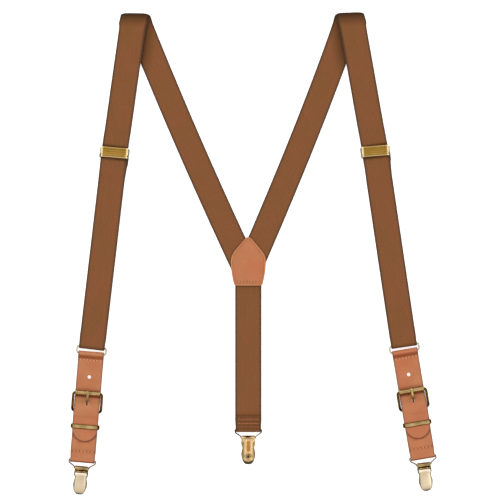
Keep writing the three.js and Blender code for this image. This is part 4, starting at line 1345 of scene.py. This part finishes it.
def make_keeper(name, place):
    outline = dense(round_rectangle(-13.9, 0.6, 13.9, 7.2, 2.2, 7), 1.2)
    spots = [Vector((x, 0, z)) for x, z in outline]
    total, sides = len(spots), 14
    half_sheet, half_length = 0.62, 2.1
    points, shades = [], []
    for k, spot in enumerate(spots):
        tangent = (spots[(k + 1) % total] - spots[(k - 1) % total]).normalized()
        out = Vector((tangent.z, 0, -tangent.x))
        for turn in range(sides):
            angle = 2 * math.pi * turn / sides
            c, s = math.cos(angle), math.sin(angle)
            reach = half_sheet * (s if s > 0 else s * 0.85)
            y = half_length * math.copysign(abs(c) ** 0.75, c) + KEEPER_AT
            points.append(spot + out * reach + Vector((0, y, 0)))
            # painted shade at the ends and along both long edges, and a painted highlight along the middle
            rim = smooth(abs(c), 0.45, 0.8)
            middle = 1 - smooth(abs(spot.x), 11.4, 12.8)
            shades.append(max(0.94 * (1 - middle), 0.78 * rim) - 0.25 * middle * (1 - rim))
    loop = build(f"{name}_keeper_loop", points, ring_faces(total, sides, True), place, ANTIQUE, shade=shades)
    fit(loop, f"{name}_keeper", "antique_brass", f"{name}_keeper")


def make_leather_end(name):
    place = plane_frame(f"{name}_leather_swing")
    body = f"{name}_leather"
    make_ring(name)
    make_billet(name, place, body)
    make_chape(name, place, body)
    make_buckle(name, place, body)
    make_keeper(name, place)


# ---------------------------------------------------------------- studio


def make_floor():
    below = cad_box[0][2] - 0.0002
    bpy.ops.mesh.primitive_grid_add(x_subdivisions=4, y_subdivisions=4, size=4.0, location=(0, 0, below))
    floor = bpy.context.object
    floor.name = "paper_floor"
    floor.data.materials.append(floor_material())


def make_sky():
    """A soft box all round: calm straight above, brighter further down, darker near the floor."""
    world = bpy.data.worlds.new("studio")
    bpy.context.scene.world = world
    world.use_nodes = True
    tree = world.node_tree
    background = tree.nodes["Background"]
    coordinate = tree.nodes.new("ShaderNodeTexCoord")
    parts = tree.nodes.new("ShaderNodeSeparateXYZ")
    ramp = tree.nodes.new("ShaderNodeValToRGB")
    tree.links.new(coordinate.outputs["Generated"], parts.inputs[0])
    tree.links.new(parts.outputs[2], ramp.inputs[0])
    tree.links.new(ramp.outputs[0], background.inputs["Color"])
    stops = ((0.0, 0.15), (0.25, 0.3), (0.45, 0.9), (0.75, 1.3), (0.93, 1.1), (0.985, 0.75), (1.0, 0.7))
    elements = ramp.color_ramp.elements
    while len(elements) < len(stops):
        elements.new(0.5)
    for element, (position, level) in zip(elements, stops):
        element.position = position
        element.color = (level, level, level, 1)
    background.inputs["Strength"].default_value = 1.05


def area_light(name, location, size, energy):
    """A soft square lamp that points at the middle of the floor."""
    data = bpy.data.lights.new(name, "AREA")
    data.size = size
    data.energy = energy
    lamp = bpy.data.objects.new(name, data)
    lamp.location = location
    lamp.rotation_mode = "QUATERNION"
    lamp.rotation_quaternion = (-Vector(location)).to_track_quat("-Z", "Y")
    bpy.context.scene.collection.objects.link(lamp)


def make_camera():
    """Straight down on the straps, half a metre across."""
    data = bpy.data.cameras.new("camera")
    data.lens = 200
    data.sensor_width = 36
    data.clip_start = 0.05
    data.clip_end = 20
    camera = bpy.data.objects.new("camera", data)
    middle = ROOT @ Vector(VIEW_CENTRE)
    strap_height = 0.003
    camera.location = (middle.x, middle.y, VIEW_WIDTH * data.lens / data.sensor_width + strap_height)
    bpy.context.scene.collection.objects.link(camera)
    bpy.context.scene.camera = camera


make_camera()
make_floor()
make_sky()
area_light("key_softbox", (-0.9, 1.1, 1.5), 0.9, 9.0)
area_light("fill_softbox", (1.2, -0.8, 1.4), 1.1, 5.0)
bpy.context.scene.view_settings.view_transform = "Standard"

make_yoke()
make_back_strap()
make_clip("back")
for side_name in LEG_SHAPE:
    make_legs(side_name)
    make_leather_end(side_name)
    make_clip(side_name)

bpy.context.view_layer.update()
